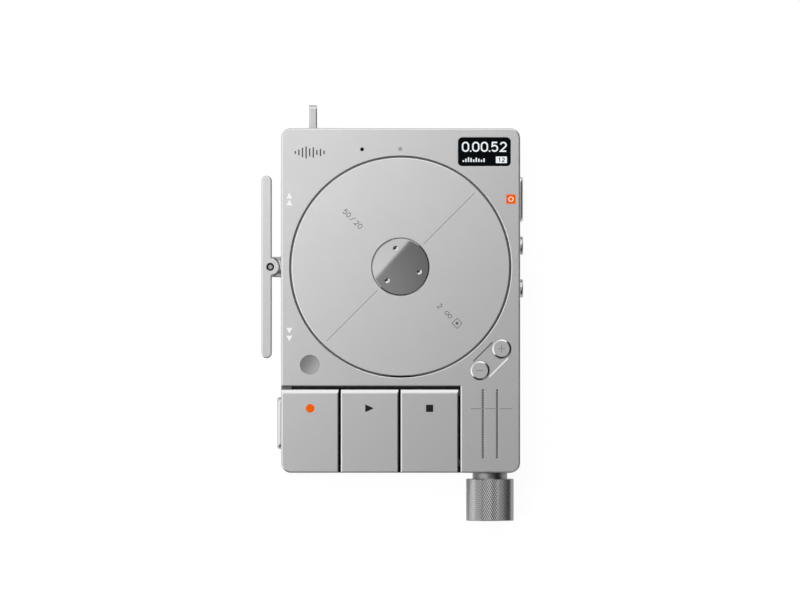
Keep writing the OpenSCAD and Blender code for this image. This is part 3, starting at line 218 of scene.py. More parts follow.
def polished_dome():
    """Polished metal of the hub, shaded by the dome's exact normal where the surface looks up."""
    made, shader = new_material("polished_metal")
    nodes, links = made.node_tree.nodes, made.node_tree.links
    shader.inputs["Metallic"].default_value = 1
    haze = noise(made, 4 * MM, 3.0)
    vary_colour(made, shader, haze, (0.239, 0.239, 0.239), (0.245, 0.245, 0.245))
    vary_roughness(made, shader, haze, 0.05, 0.08)
    bump = add_bump(made, shader, noise(made, 0.2 * MM), 0.0005 * MM, 0.05)
    low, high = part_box("hub_cap")
    half = (high.x - low.x) / 2
    radius = (half ** 2 + HUB_DOME ** 2) / (2 * HUB_DOME)
    place = nodes.new("ShaderNodeTexCoord")
    outward = nodes.new("ShaderNodeVectorMath")
    outward.operation = "SUBTRACT"
    outward.inputs[1].default_value = (REEL.x, REEL.y, high.z - radius)
    exact = nodes.new("ShaderNodeVectorTransform")
    exact.vector_type = "NORMAL"
    exact.convert_from = "OBJECT"
    exact.convert_to = "WORLD"
    parts = nodes.new("ShaderNodeSeparateXYZ")
    looks_up = nodes.new("ShaderNodeMath")
    looks_up.operation = "GREATER_THAN"
    looks_up.inputs[1].default_value = LOOKS_UP
    facing = nodes.new("ShaderNodeNewGeometry")
    mix = nodes.new("ShaderNodeMix")
    mix.data_type = "VECTOR"
    links.new(place.outputs["Object"], outward.inputs[0])
    links.new(outward.outputs["Vector"], exact.inputs["Vector"])
    links.new(place.outputs["Normal"], parts.inputs["Vector"])
    links.new(parts.outputs["Z"], looks_up.inputs[0])
    links.new(looks_up.outputs[0], mix.inputs["Factor"])
    links.new(facing.outputs["Normal"], mix.inputs["A"])
    links.new(exact.outputs["Vector"], mix.inputs["B"])
    links.new(mix.outputs["Result"], bump.inputs["Normal"])
    return made


def black_plastic():
    """Matt moulded plastic with a fine texture."""
    made = grained("black_plastic", (0.012, 0.012, 0.013), 0.2, 0.50, 0.2 * MM, 0.01 * MM, 0.5, 0.0)
    made.node_tree.nodes["Principled BSDF"].inputs["Specular IOR Level"].default_value = 0.15
    return made


def black_glass():
    """Cover glass over a dark display, with a trace of smear in its gloss."""
    made, shader = new_material("black_glass")
    smear = noise(made, 6 * MM, 3.0)
    vary_colour(made, shader, smear, (0.0012, 0.0020, 0.0028), (0.0016, 0.0026, 0.0036))
    vary_roughness(made, shader, smear, 0.05, 0.10)
    shader.inputs["Specular IOR Level"].default_value = 0.03
    return made


COAT_SPREAD = 0.05
COAT_ROUGHNESS_SPREAD = 0.06


def ink(name, colour, roughness=0.55, specular=0.1):
    """Printed or painted mark, and also painted shade, with a slightly uneven coat."""
    made, shader = new_material(name)
    coat = noise(made, 0.25 * MM)
    dark = [c * (1 - COAT_SPREAD) for c in colour]
    light = [min(1, c * (1 + COAT_SPREAD)) for c in colour]
    vary_colour(made, shader, coat, dark, light)
    vary_roughness(made, shader, coat, roughness - COAT_ROUGHNESS_SPREAD, roughness + COAT_ROUGHNESS_SPREAD)
    add_bump(made, shader, coat, 0.004 * MM, 0.2)
    shader.inputs["Specular IOR Level"].default_value = specular
    return made


def display_glow():
    """Lit parts of the display, with a slightly uneven glow."""
    made, shader = new_material("display_glow")
    shader.inputs["Base Color"].default_value = (0.02, 0.02, 0.02, 1)
    shader.inputs["Roughness"].default_value = 0.4
    shader.inputs["Emission Color"].default_value = (0.92, 0.97, 1.0, 1)
    spread = made.node_tree.nodes.new("ShaderNodeMapRange")
    spread.inputs["To Min"].default_value = 0.78
    spread.inputs["To Max"].default_value = 0.92
    made.node_tree.links.new(noise(made, 0.12 * MM), spread.inputs["Value"])
    made.node_tree.links.new(spread.outputs["Result"], shader.inputs["Emission Strength"])
    return made


ALUMINIUM = (0.455, 0.455, 0.455)
REEL_ALUMINIUM = (0.48, 0.48, 0.48)

# A grained finish: colour, spread of its tone, roughness, then size, height and strength of its grain
FINISHES = {
    "silver_aluminium": cut_edged("silver_aluminium", ALUMINIUM, 0.10 * MM),
    "reel_aluminium": cut_edged("reel_aluminium", REEL_ALUMINIUM, 0.08 * MM),
    "grey_metal": grained("grey_metal", (0.25, 0.25, 0.25), 0.03, 0.34, 0.10 * MM, 0.004 * MM, 0.3),
    "knurled_metal": grained("knurled_metal", (0.30, 0.30, 0.304), 0.04, 0.14, 0.10 * MM, 0.003 * MM, 0.3),
    "polished_metal": polished_dome(),
    "dark_metal": grained("dark_metal", (0.20, 0.20, 0.20), 0.05, 0.34, 0.12 * MM, 0.004 * MM, 0.3),
    "steel": grained("steel", (0.42, 0.42, 0.425), 0.05, 0.30, 0.15 * MM, 0.004 * MM, 0.3),
    "bright_steel": grained("bright_steel", (0.42, 0.42, 0.42), 0.02, 0.24, 0.15 * MM, 0.001 * MM, 0.1),
    "brass": grained("brass", (0.75, 0.58, 0.28), 0.05, 0.25, 0.15 * MM, 0.004 * MM, 0.3, 1.0, (1, 6, 1)),
    "copper_wire": grained(
        "copper_wire", (0.70, 0.36, 0.20), 0.2, 0.30, 0.2 * MM, 0.05 * MM, 0.8, 1.0, (1, 1, 8)),
    "magnet": grained("magnet", (0.16, 0.16, 0.17), 0.1, 0.50, 0.2 * MM, 0.01 * MM, 0.4),
    "battery_foil": grained("battery_foil", (0.42, 0.43, 0.46), 0.1, 0.35, 0.8 * MM, 0.03 * MM, 0.5),
    "black_glass": black_glass(),
    "black_plastic": black_plastic(),
    "smoked_plastic": grained(
        "smoked_plastic", (0.10, 0.10, 0.10), 0.1, 0.20, 0.3 * MM, 0.002 * MM, 0.2, 0.0),
    "clear_plastic": grained(
        "clear_plastic", (0.34, 0.34, 0.33), 0.05, 0.30, 0.2 * MM, 0.003 * MM, 0.3, 0.0),
    "circuit_board": grained(
        "circuit_board", (0.03, 0.12, 0.07), 0.25, 0.40, 0.4 * MM, 0.02 * MM, 0.4, 0.0),
}
WHITE_INK = ink("white_ink", (0.86, 0.86, 0.86))
# The black, dark and faint coats serve for print and also as painted shade in gaps and hollows.
BLACK_INK_AND_SHADE = ink("black_ink_and_shade", (0.012, 0.012, 0.013))
DARK_INK_AND_SHADE = ink("dark_ink_and_shade", (0.05, 0.05, 0.052))
GREY_INK = ink("grey_ink", (0.12, 0.12, 0.125))
METER_INK = ink("meter_ink", (0.16, 0.16, 0.165))
FAINT_INK_AND_SHADE = ink("faint_ink_and_shade", (0.24, 0.24, 0.245))
ORANGE_INK = ink("orange_ink", (0.89, 0.112, 0.0), specular=0.03)
GLOW = display_glow()
GLASS_INK = ink("glass_ink", (0.004, 0.005, 0.006), 0.3)

FLUSH_METAL = blasted("flush_metal", ALUMINIUM, 0.10 * MM)
SIDE_METAL = grained("side_metal", (0.40, 0.40, 0.40), 0.02, 0.16, 0.10 * MM, 0.002 * MM, 0.2)
BUTTON_METAL = crisp_edged("button_metal", ALUMINIUM, 0.10 * MM, CHAMFER_ROUGHNESS)
# Nodes whose finish differs from that of their slot
OWN_FINISHES = {
    "plus_button": BUTTON_METAL,
    "minus_button": BUTTON_METAL,
    # Painted shade: the strap loop takes a darker copy of the case's cut aluminium, for the darker tone it
    # shows.
    "strap_loop": cut_edged("loop_shaded_metal", (0.40, 0.40, 0.40), 0.08 * MM),
    "rocker_pivot_screw": FINISHES["grey_metal"],
    "tray_screws": FINISHES["dark_metal"],
    "memo_key": cut_edged("memo_metal", (0.52, 0.52, 0.52), 0.10 * MM),
    "upper_side_button": SIDE_METAL,
    "lower_side_button": SIDE_METAL,
}


def dress_nodes():
    """Gives each CAD node its own finish, or else the finish of its slot."""
    for name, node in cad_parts.items():
        slot = node.data.materials[0].name
        node.data.materials.clear()
        node.data.materials.append(OWN_FINISHES.get(name, FINISHES[slot]))


# Flat shapes: each is a list of points and a list of faces that run anticlockwise

def polygon(points):
    return [tuple(p) for p in points], [tuple(range(len(points)))]


def rectangle(x0, y0, x1, y1):
    return polygon([(x0, y0), (x1, y0), (x1, y1), (x0, y1)])


def arc(cx, cy, rx, ry, start, end, steps=10):
    """Points along an ellipse, with its angles in degrees."""
    angles = [math.radians(start + (end - start) * i / steps) for i in range(steps + 1)]
    return [(cx + rx * math.cos(a), cy + ry * math.sin(a)) for a in angles]


def disc(radius, at=(0, 0), sides=40):
    return polygon(arc(at[0], at[1], radius, radius, 0, 360, sides)[:-1])


CORNER_STEPS = 6


def rounded_rectangle(x0, y0, x1, y1, r):
    corners = ((x1 - r, y1 - r), (x0 + r, y1 - r), (x0 + r, y0 + r), (x1 - r, y0 + r))
    points = []
    for i, (cx, cy) in enumerate(corners):
        points += arc(cx, cy, r, r, 90 * i, 90 * (i + 1), CORNER_STEPS)
    return polygon(points)


MITRE_LIMIT = 0.4


def side_step(before, here, after, half):
    """Offset from a point of a line to the left edge of a strip along it."""
    steps = [(b - a).normalized() for a, b in ((before, here), (here, after)) if (b - a).length > 0]
    lefts = [Vector((-s.y, s.x)) for s in steps]
    left = sum(lefts, Vector((0, 0))).normalized()
    return left * half / max(MITRE_LIMIT, left.dot(lefts[0]))


def band(points, width, closed=False):
    """Strip of even width along a line of points."""
    line = [Vector(p) for p in points]
    count = len(line)
    verts = []
    for i, here in enumerate(line):
        before = line[i - 1] if i or closed else here
        after = line[(i + 1) % count] if i < count - 1 or closed else here
        step = side_step(before, here, after, width / 2)
        verts += [tuple(here - step), tuple(here + step)]
    runs = count if closed else count - 1
    faces = []
    for i in range(runs):
        j = (i + 1) % count
        faces.append((2 * i, 2 * j, 2 * j + 1, 2 * i + 1))
    return verts, faces


def ring(radius, width, at=(0, 0), sides=40):
    return band(arc(at[0], at[1], radius, radius, 0, 360, sides)[:-1], width, True)


def annulus(inner, outer, at=(0, 0)):
    """Ring between two radii."""
    return ring((inner + outer) / 2, outer - inner, at)


def frame_line(x0, y0, x1, y1, width):
    return band([(x0, y0), (x1, y0), (x1, y1), (x0, y1)], width, True)


def placed(shape, at, degrees=0):
    """The shape turned about its origin and moved."""
    c, s = math.cos(math.radians(degrees)), math.sin(math.radians(degrees))
    verts = [(at[0] + c * x - s * y, at[1] + s * x + c * y) for x, y in shape[0]]
    return verts, shape[1]


def extruded(shapes, z0, z1):
    """Closed prisms of flat shapes between two heights."""
    verts, faces = [], []
    for flat, tops in shapes:
        low = len(verts)
        high = low + len(flat)
        verts += [(x, y, z0) for x, y in flat] + [(x, y, z1) for x, y in flat]
        edges = {(f[i], f[(i + 1) % len(f)]) for f in tops for i in range(len(f))}
        faces += [tuple(high + i for i in f) for f in tops]
        faces += [tuple(low + i for i in reversed(f)) for f in tops]
        faces += [(low + a, low + b, high + b, high + a) for a, b in edges if (b, a) not in edges]
    return verts, faces


def solid(name, verts, faces, material, body):
    """A new mesh piece that rides on a body."""
    mesh = bpy.data.meshes.new(name)
    mesh.from_pydata(verts, [], faces)
    mesh.materials.append(material)
    made = bpy.data.objects.new(name, mesh)
    scene.collection.objects.link(made)
    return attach(made, body)


INK_SINK = 0.006 * MM
INK_RISE = 0.014 * MM


def mark(name, shapes, surface, material, body, lift=0):
    """A thin mark on a flat face that looks up, with its shapes in millimetres."""
    in_metres = [([(x * MM, y * MM) for x, y in flat], tops) for flat, tops in shapes]
    verts, faces = extruded(in_metres, surface - INK_SINK, surface + INK_RISE + lift)
    return solid(name, verts, faces, material, body)


# Plain numerals drawn as strokes in a unit box

NUMERALS = {
    "0": (arc(0.5, 0.66, 0.5, 0.34, 0, 180) + arc(0.5, 0.34, 0.5, 0.34, 180, 360), True),
    "1": ([(0.16, 0.78), (0.56, 1), (0.56, 0)], False),
    "2": (arc(0.5, 0.7, 0.47, 0.3, 170, -28) + [(0.03, 0), (1, 0)], False),
    "5": ([(0.92, 1), (0.14, 1), (0.08, 0.56)] + arc(0.48, 0.33, 0.5, 0.33, 128, -150), False),
}


def numeral(digit, width, height, stroke):
    """One numeral with its lower left corner at the origin."""
    line, closed = NUMERALS[digit]
    inner_w, inner_h = width - stroke, height - stroke
    return band([(stroke / 2 + x * inner_w, stroke / 2 + y * inner_h) for x, y in line], stroke, closed)


# Knob with a diamond knurl

KNURL_STARTS = 74
KNURL_PITCH = 1.08 * MM
KNURL_DEPTH = 0.11 * MM
KNOB_RIM = 0.2 * MM
# Dished outer end: radii of its floor and of its edge as shares of the knob's, and its depth
KNOB_LIP = (0.80, 0.84)
KNOB_DISH = 0.25 * MM


def knob_rings():
    """Rings of axial place and radii from the dished outer end to the inner end, pyramids between."""
    low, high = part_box("level_knob")
    radius = (high.x - low.x) / 2
    columns = 2 * KNURL_STARTS
    length = high.y - low.y - 2 * KNOB_RIM
    rows = round(2 * length / KNURL_PITCH)
    crests = (radius - KNURL_DEPTH, radius)
    rings = [(low.y + KNOB_DISH, [KNOB_LIP[0] * radius] * columns),
             (low.y, [KNOB_LIP[1] * radius] * columns),
             (low.y, [radius - KNOB_RIM] * columns)]
    for j in range(rows + 1):
        radii = [crests[(i + j) % 2] for i in range(columns)]
        rings.append((low.y + KNOB_RIM + length * j / rows, radii))
    rings.append((high.y, [radius - KNOB_RIM] * columns))
    return rings


def knurled_knob():
    """Knob covered in fine pyramids, each cell split along the groove between two of them."""
    axis = middle("level_knob")
    rings = knob_rings()
    columns = 2 * KNURL_STARTS
    verts = []
    for y, radii in rings:
        for i, r in enumerate(radii):
            a = 2 * math.pi * i / columns
            verts.append((axis.x + r * math.cos(a), y, axis.z + r * math.sin(a)))
    faces = []
    for j in range(len(rings) - 1):
        for i in range(columns):
            k = (i + 1) % columns
            a, d = j * columns + i, j * columns + k
            b, c = a + columns, d + columns
            faces += [(a, b, c), (a, c, d)] if (i + j) % 2 else [(a, b, d), (b, c, d)]
    last = (len(rings) - 1) * columns
    faces.append(tuple(range(columns)))
    faces.append(tuple(last + i for i in reversed(range(columns))))
    made = solid("knurled_knob", verts, faces, FINISHES["knurled_metal"], "knob")
    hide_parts("level_knob")


# Printed marks, in millimetres on the front face

INDEX_W = 0.2
INDEX_FROM = 9.1
INDEX_TO = 29.2
INDEX_TURN = 45
DISC_PRINT_R = 18.9
DISC_PRINT_H = 1.55
DISC_PRINT_W = 1.05
DISC_STROKE = 0.2
# Signs on the disc, from the middle of their row: each numeral with the place of its left side, a slash,
# two rings, and a box with a dot
UPPER_NUMERALS = (("5", -3.4), ("0", -2.1), ("2", 1.1), ("0", 2.4))
SLASH_W = 0.84
LOWER_NUMERAL = ("2", -4.0)
SIGN_LINE = 0.18
RING_SIGN_R = 0.5
RING_SIGNS = (-0.72, 0.52)
BOX_SIGN = 3.3
BOX_SIGN_HALF = 1.0
BOX_DOT_R = 0.42


def disc_numeral(digit, x):
    """Numeral on the disc, with half its height above the middle line of its row."""
    return placed(numeral(digit, DISC_PRINT_W, DISC_PRINT_H, DISC_STROKE), (x, -DISC_PRINT_H / 2))


def reel_marks():
    """Index line across the reel, with plain numbers and signs on either side of it."""
    at = (REEL.x / MM, REEL.y / MM)
    halves = (rectangle(INDEX_FROM, -INDEX_W / 2, INDEX_TO, INDEX_W / 2),
              rectangle(-INDEX_TO, -INDEX_W / 2, -INDEX_FROM, INDEX_W / 2))
    mark("reel_index_line", [placed(s, at, INDEX_TURN) for s in halves], REEL_Z, FAINT_INK_AND_SHADE, "reel")
    out = DISC_PRINT_R * math.sqrt(0.5)
    upper = (at[0] - out, at[1] + out)
    lower = (at[0] + out, at[1] - out)
    numbers = [disc_numeral(d, x) for d, x in UPPER_NUMERALS]
    numbers.append(band([(-SLASH_W / 2, -DISC_PRINT_H / 2), (SLASH_W / 2, DISC_PRINT_H / 2)], DISC_STROKE))
    mark("reel_upper_numbers", [placed(s, upper, -INDEX_TURN) for s in numbers], REEL_Z, GREY_INK, "reel")
    signs = [disc_numeral(*LOWER_NUMERAL)]
    signs += [ring(RING_SIGN_R, SIGN_LINE, (x, 0)) for x in RING_SIGNS]
    left, right = BOX_SIGN - BOX_SIGN_HALF, BOX_SIGN + BOX_SIGN_HALF
    signs.append(frame_line(left, -BOX_SIGN_HALF, right, BOX_SIGN_HALF, SIGN_LINE))
    signs.append(disc(BOX_DOT_R, (BOX_SIGN, 0)))
    mark("reel_lower_signs", [placed(s, lower, -INDEX_TURN) for s in signs], REEL_Z, GREY_INK, "reel")


ARROW_X = -30.97
ARROW_W = 1.67
ARROW_H = 1.6
UP_ARROWS = (28.4, 26.5)
DOWN_ARROWS = (-7.6, -9.75)


def rocker_arrows():
    """White pointers beside the rocker."""
    up = [polygon([(ARROW_X - ARROW_W / 2, y), (ARROW_X + ARROW_W / 2, y), (ARROW_X, y + ARROW_H)])
          for y in UP_ARROWS]
    down = [polygon([(ARROW_X - ARROW_W / 2, y), (ARROW_X, y - ARROW_H), (ARROW_X + ARROW_W / 2, y)])
            for y in DOWN_ARROWS]
    mark("upper_pointers", up, FACE_Z, WHITE_INK, "case")
    mark("lower_pointers", down, FACE_Z, WHITE_INK, "case")


KEY_SIGN_Y = -30.0
RECORD_X = -25.17
RECORD_R = 1.2
PLAY_X = (-9.85, -7.46)
PLAY_HALF = 1.1
STOP_X = 8.07
STOP_HALF = 1.0


def key_signs():
    """Record, play and stop signs."""
    record = disc(RECORD_R, (RECORD_X, KEY_SIGN_Y))
    play = polygon([(PLAY_X[0], KEY_SIGN_Y - PLAY_HALF), (PLAY_X[1], KEY_SIGN_Y),
                    (PLAY_X[0], KEY_SIGN_Y + PLAY_HALF)])
    stop = rectangle(STOP_X - STOP_HALF, KEY_SIGN_Y - STOP_HALF, STOP_X + STOP_HALF, KEY_SIGN_Y + STOP_HALF)
    mark("record_sign", [record], top_of("record_key"), ORANGE_INK, "record_key_body")
    mark("play_sign", [play], top_of("play_key"), BLACK_INK_AND_SHADE, "play_key_body")
    mark("stop_sign", [stop], top_of("stop_key"), BLACK_INK_AND_SHADE, "stop_key_body")


# Half the length and half the width of a line
VOLUME_SIGN = (1.05, 0.12)


def button_signs():
    """Fine plus and minus signs on the volume buttons."""
    half, thin = VOLUME_SIGN
    for name in ("plus", "minus"):
        at = middle(name + "_button") / MM
        shapes = [rectangle(at.x - half, at.y - thin, at.x + half, at.y + thin)]
        if name == "plus":
            shapes.append(rectangle(at.x - thin, at.y + thin, at.x + thin, at.y + half))
            shapes.append(rectangle(at.x - thin, at.y - half, at.x + thin, at.y - thin))
        mark(name + "_sign", shapes, top_of(name + "_button"), FAINT_INK_AND_SHADE, name)


METER_LINE_Y = -30.1
METER_LINE_X = (19.5, 30.9)
METER_LINE_HALF = 0.11
METER_ROWS = (22.91, 26.89)
METER_CLEAR = 0.55
METER_ENDS = (-43.63, -25.0)
METER_STRIP_W = 0.3


def meter_lines():
    """Fine line down each row of meter holes, and a reference line across them, broken at each row."""
    strips = [rectangle(x - METER_STRIP_W / 2, METER_ENDS[0], x + METER_STRIP_W / 2, METER_ENDS[1])
              for x in METER_ROWS]
    mark("meter_strips", strips, FACE_Z, METER_INK, "case")
    stops = [METER_LINE_X[0]]
    for x in METER_ROWS:
        stops += [x - METER_CLEAR, x + METER_CLEAR]
    stops.append(METER_LINE_X[1])
    runs = [rectangle(a, METER_LINE_Y - METER_LINE_HALF, b, METER_LINE_Y + METER_LINE_HALF)
            for a, b in zip(stops[::2], stops[1::2])]
    mark("meter_reference_line", runs, FACE_Z, FAINT_INK_AND_SHADE, "case")


BADGE_BARS = (0.8, 1.6, 2.6, 3.3, 2.2, 2.9, 1.4, 2.0, 1.0)
BADGE_AT = (-25.3, 41.2)
BADGE_PITCH = 1.0
BADGE_BAR_W = 0.36


def badge():
    """Plain row of level bars in the upper left corner."""
    first = BADGE_AT[0] - BADGE_PITCH * (len(BADGE_BARS) - 1) / 2
    bars = []
    for i, h in enumerate(BADGE_BARS):
        x = first + i * BADGE_PITCH
        low, high = BADGE_AT[1] - h / 2, BADGE_AT[1] + h / 2
        bars.append(rectangle(x - BADGE_BAR_W / 2, low, x + BADGE_BAR_W / 2, high))
    mark("level_bars", bars, FACE_Z, DARK_INK_AND_SHADE, "case")


MEMO_MARK = (30.7, 28.2)
MEMO_HALF = 1.3
MEMO_RING_R = 0.6
MEMO_RING_W = 0.24


def memo_mark():
    """Orange square beside the memo key, with a plain white ring."""
    x, y = MEMO_MARK
    square = rectangle(x - MEMO_HALF, y - MEMO_HALF, x + MEMO_HALF, y + MEMO_HALF)
    mark("memo_square", [square], FACE_Z, ORANGE_INK, "case")
    mark("memo_ring", [ring(MEMO_RING_R, MEMO_RING_W, (x, y))], FACE_Z, WHITE_INK, "case", INK_RISE)


COUNTER = "0.00.52"
COUNTER_LEFT = 17.03
COUNTER_BASE = 41.35
DIGIT_W = 2.06
DIGIT_H = 2.84
DIGIT_STROKE = 0.42
DIGIT_GAP = 0.34
DOT_ROOM = 0.8
DOT_W = 0.46
DOT_SIDES = 16


def counter():
    """The display's running time."""
    shapes, x = [], COUNTER_LEFT
    for i, sign in enumerate(COUNTER):
        if sign == ".":
            x += DOT_ROOM / 2
            shapes.append(disc(DOT_W / 2, (x, COUNTER_BASE + DOT_W / 2), DOT_SIDES))
            x += DOT_ROOM / 2
        else:
            shapes.append(placed(numeral(sign, DIGIT_W, DIGIT_H, DIGIT_STROKE), (x, COUNTER_BASE)))
            x += DIGIT_W + (DIGIT_GAP if COUNTER[i + 1:i + 2].isdigit() else 0)
    return shapes


LEVELS = (0.5, 0.9, 1.3, 1.1, 0.7, 1.2, 0.9, 0.6, 1.0)
LEVEL_LEFT = 17.25
LEVEL_BASE = 38.55
LEVEL_PITCH = 0.72
LEVEL_W = 0.4
NUMBER_BOX = (26.5, 38.23, 29.6, 40.07)
NUMBER_BOX_R = 0.2
BOX_NUMERALS = (("1", 27.1), ("2", 28.15))
BOX_BASE = 38.53
# Width, height and stroke of a numeral in the box
BOX_NUMERAL = (0.85, 1.25, 0.22)


def display_picture():
    """Counter, level bars and a small number box on the display."""
    glass = top_of("display_window")
    shapes = counter()
    for i, h in enumerate(LEVELS):
        x = LEVEL_LEFT + LEVEL_PITCH * i
        shapes.append(rectangle(x, LEVEL_BASE, x + LEVEL_W, LEVEL_BASE + h))
    shapes.append(rounded_rectangle(*NUMBER_BOX, NUMBER_BOX_R))
    mark("display_picture", shapes, glass, GLOW, "case")
    box = [placed(numeral(d, *BOX_NUMERAL), (x, BOX_BASE)) for d, x in BOX_NUMERALS]
    mark("display_box_number", box, glass, GLASS_INK, "case", INK_RISE)


# Small fitted pieces and painted shade, where the shapes of a mark are in millimetres too

# Inner and outer radius
SHADE_RING = (0.76 * MM, 1.06 * MM)
SHADE_RING_T = 0.2 * MM
COUNTERBORE_DEPTH = 1.3 * MM


def pivot_shade_ring():
    """Painted shade: a black ring on the floor of the rocker's counterbore, round the pivot screw's head,
    that darkens the gap there.
    """
    at = middle("rocker_pivot_screw")
    floor = top_of("rocker_lever") - COUNTERBORE_DEPTH
    # Painted shade: the black ring keeps the gap round the screw's head dark.
    verts, faces = extruded([annulus(*SHADE_RING, (at.x, at.y))], floor, floor + SHADE_RING_T)
    made = solid("pivot_shade_ring", verts, faces, FINISHES["black_plastic"], "rocker")


# Inner and outer radius
PIVOT_SHADE_RIM = (0.58, 0.74)


def pivot_shade_rim():
    """Painted shade: a dark ring on the pivot screw's head, for the shade round the head in the
    counterbore.
    """
    at = middle("rocker_pivot_screw") / MM
    # Painted shade: dark ring on the screw's head.
    mark("pivot_shade_rim", [annulus(*PIVOT_SHADE_RIM, (at.x, at.y))], top_of("rocker_pivot_screw"), DARK_INK_AND_SHADE, "case")


BUTTON_R = 2.65 * MM
RECESS_R = 3.25 * MM
RECESS_DEPTH = 0.15 * MM
END_GAP = 0.1 * MM
END_LAP = 0.3 * MM
END_SWEEP = 100
END_STEPS = 40
# Which way each end of the recess faces, in degrees
RECESS_ENDS = (("plus", 45), ("minus", 225))


def recess_ends():
    """Flush plates that close the recess round the outer sides of the plus and minus buttons."""
    inner, outer = BUTTON_R + END_GAP, RECESS_R + END_LAP
    mean = (inner + outer) / 2
    for name, facing in RECESS_ENDS:
        at = middle(name + "_button")
        line = arc(at.x, at.y, mean, mean, facing - END_SWEEP, facing + END_SWEEP, END_STEPS)
        plate = band(line, outer - inner)
        verts, faces = extruded([plate], FACE_Z - RECESS_DEPTH, FACE_Z + INK_RISE)
        made = solid(name + "_recess_end", verts, faces, FLUSH_METAL, "case")


KEY_NAMES = ("record", "play", "stop")
WELL_DEPTH = 6.096 * MM
# A shade strip's ends, from the case's lower edge
SHADE_STRIP = (0.1, 1.8)


def gap_shade_strips():
    """Painted shade: black strips on the floor of the key well, at the lower end of the gap beside each
    key, that keep the gap dark.
    """
    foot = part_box("front_case")[0].y / MM
    sides = [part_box(name + "_key")[1].x / MM for name in KEY_NAMES]
    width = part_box("play_key")[0].x / MM - sides[0]
    strips = [rectangle(x, foot + SHADE_STRIP[0], x + width, foot + SHADE_STRIP[1]) for x in sides]
    # Painted shade: black strips where the gaps between the keys are only in shade.
    mark("gap_shade_strips", strips, FACE_Z - WELL_DEPTH, BLACK_INK_AND_SHADE, "case")


SPRING_TURNS = 6
SPRING_WIRE_R = 0.3 * MM
SPRING_STEPS = 24
SPRING_SIDES = 8


def coil(low, high):
    """Tube wound in an upright helix that fills a box."""
    at = (low + high) / 2
    radius = (high.x - low.x) / 2 - SPRING_WIRE_R
    climb = high.z - low.z - 2 * SPRING_WIRE_R
    count = SPRING_TURNS * SPRING_STEPS
    verts = []
    for i in range(count + 1):
        turn = 2 * math.pi * i / SPRING_STEPS
        z = low.z + SPRING_WIRE_R + climb * i / count
        for j in range(SPRING_SIDES):
            round_wire = 2 * math.pi * j / SPRING_SIDES
            r = radius + SPRING_WIRE_R * math.cos(round_wire)
            rise = SPRING_WIRE_R * math.sin(round_wire)
            verts.append((at.x + r * math.cos(turn), at.y + r * math.sin(turn), z + rise))
    faces = [tuple(range(SPRING_SIDES)), tuple(len(verts) - 1 - j for j in range(SPRING_SIDES))]
    for i in range(count):
        for j in range(SPRING_SIDES):
            k = (j + 1) % SPRING_SIDES
            p, q = i * SPRING_SIDES, (i + 1) * SPRING_SIDES
            faces.append((p + j, q + j, q + k, p + k))
    return verts, faces


def key_springs():
    """Coil under each transport key, filling the box of the key's spring."""
    for name in KEY_NAMES:
        low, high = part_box(name + "_key_spring")
        verts, faces = coil(low, high)
        made = solid(name + "_key_coil", verts, faces, FINISHES["steel"], "case")
        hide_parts(name + "_key_spring")
        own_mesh(made)


SCREW_CIRCLE = 5.32
SCREW_ANGLES = (105, -15, 225)
SOCKET_R = 0.2
SOCKET_SIDES = 16
SOCKET_SINK = 0.2 * MM


def screw_socket_shade():
    """Painted shade: dark discs for the drive holes in the three hub screws."""
    at = (REEL.x / MM, REEL.y / MM)
    hole = disc(SOCKET_R, (SCREW_CIRCLE, 0), SOCKET_SIDES)
    holes = [placed(hole, at, angle) for angle in SCREW_ANGLES]
    # Painted shade: the dark discs stand for the shade in the drive holes.
    mark("hub_screw_socket_shade", holes, top_of("hub_screws") - SOCKET_SINK, DARK_INK_AND_SHADE, "reel")


# Left, lower, right and upper edge of the strip
LEDGE_SHADE = (-33.2, -24.62, -30.45, -23.95)
LEDGE_SHADE_SINK = 1.6 * MM


def ledge_shade_strip():
    """Painted shade: a grey strip that darkens the sunk ledge at the left end of the gap above the keys."""
    # Painted shade: grey strip for the shade on the sunk ledge.
    mark("ledge_shade_strip", [rectangle(*LEDGE_SHADE)], FACE_Z - LEDGE_SHADE_SINK, FAINT_INK_AND_SHADE, "case")


# Stage

CAMERA_H = 4.0
CAMERA_CLIP = (0.01, 20)
# Width of the picture in pixels, and the size of a pixel on the front face
PICTURE_W = 800
PIXEL = 0.27826 * MM
FRAME_W = PICTURE_W * PIXEL
VIEW_CENTRE = (-0.17 * MM, 0.14 * MM)
SENSOR_W = 36.0


def camera():
    """Looks straight down on the front face; the frame's width is taken at that face."""
    lens = bpy.data.cameras.new("camera")
    lens.sensor_width = SENSOR_W
    lens.lens = SENSOR_W * CAMERA_H / FRAME_W
    lens.clip_start, lens.clip_end = CAMERA_CLIP
    made = bpy.data.objects.new("camera", lens)
    made.location = (*VIEW_CENTRE, FACE_Z + CAMERA_H)
    scene.collection.objects.link(made)
    scene.camera = made


LAMP_H = 0.35
LAMP_WIDTH = 4.0
LAMP_EDGE = 0.0242
# Depth and level of each panel, from the near edge outwards
LAMP_PANELS = ((0.5, 1.63), (1.7, 0.95))
LAMP_TURN = math.radians(48)
# Two ways to look into the room, with the room's level by how far a direction leans that way
KEY_SIDE = (-0.5, 0.5, 0.707)
KEY_RAMP = ((-0.6, 0.80), (-0.45, 0.62), (-0.32, 0.12), (-0.12, 0.03),
            (0.1, 0.03), (0.45, 0.23), (0.707, 0.53), (1.0, 0.05))
FILL_SIDE = (-0.707, -0.707, 0.0)
FILL_RAMP = ((-0.2, 0.0), (0.15, 0.33), (0.55, 0.02))


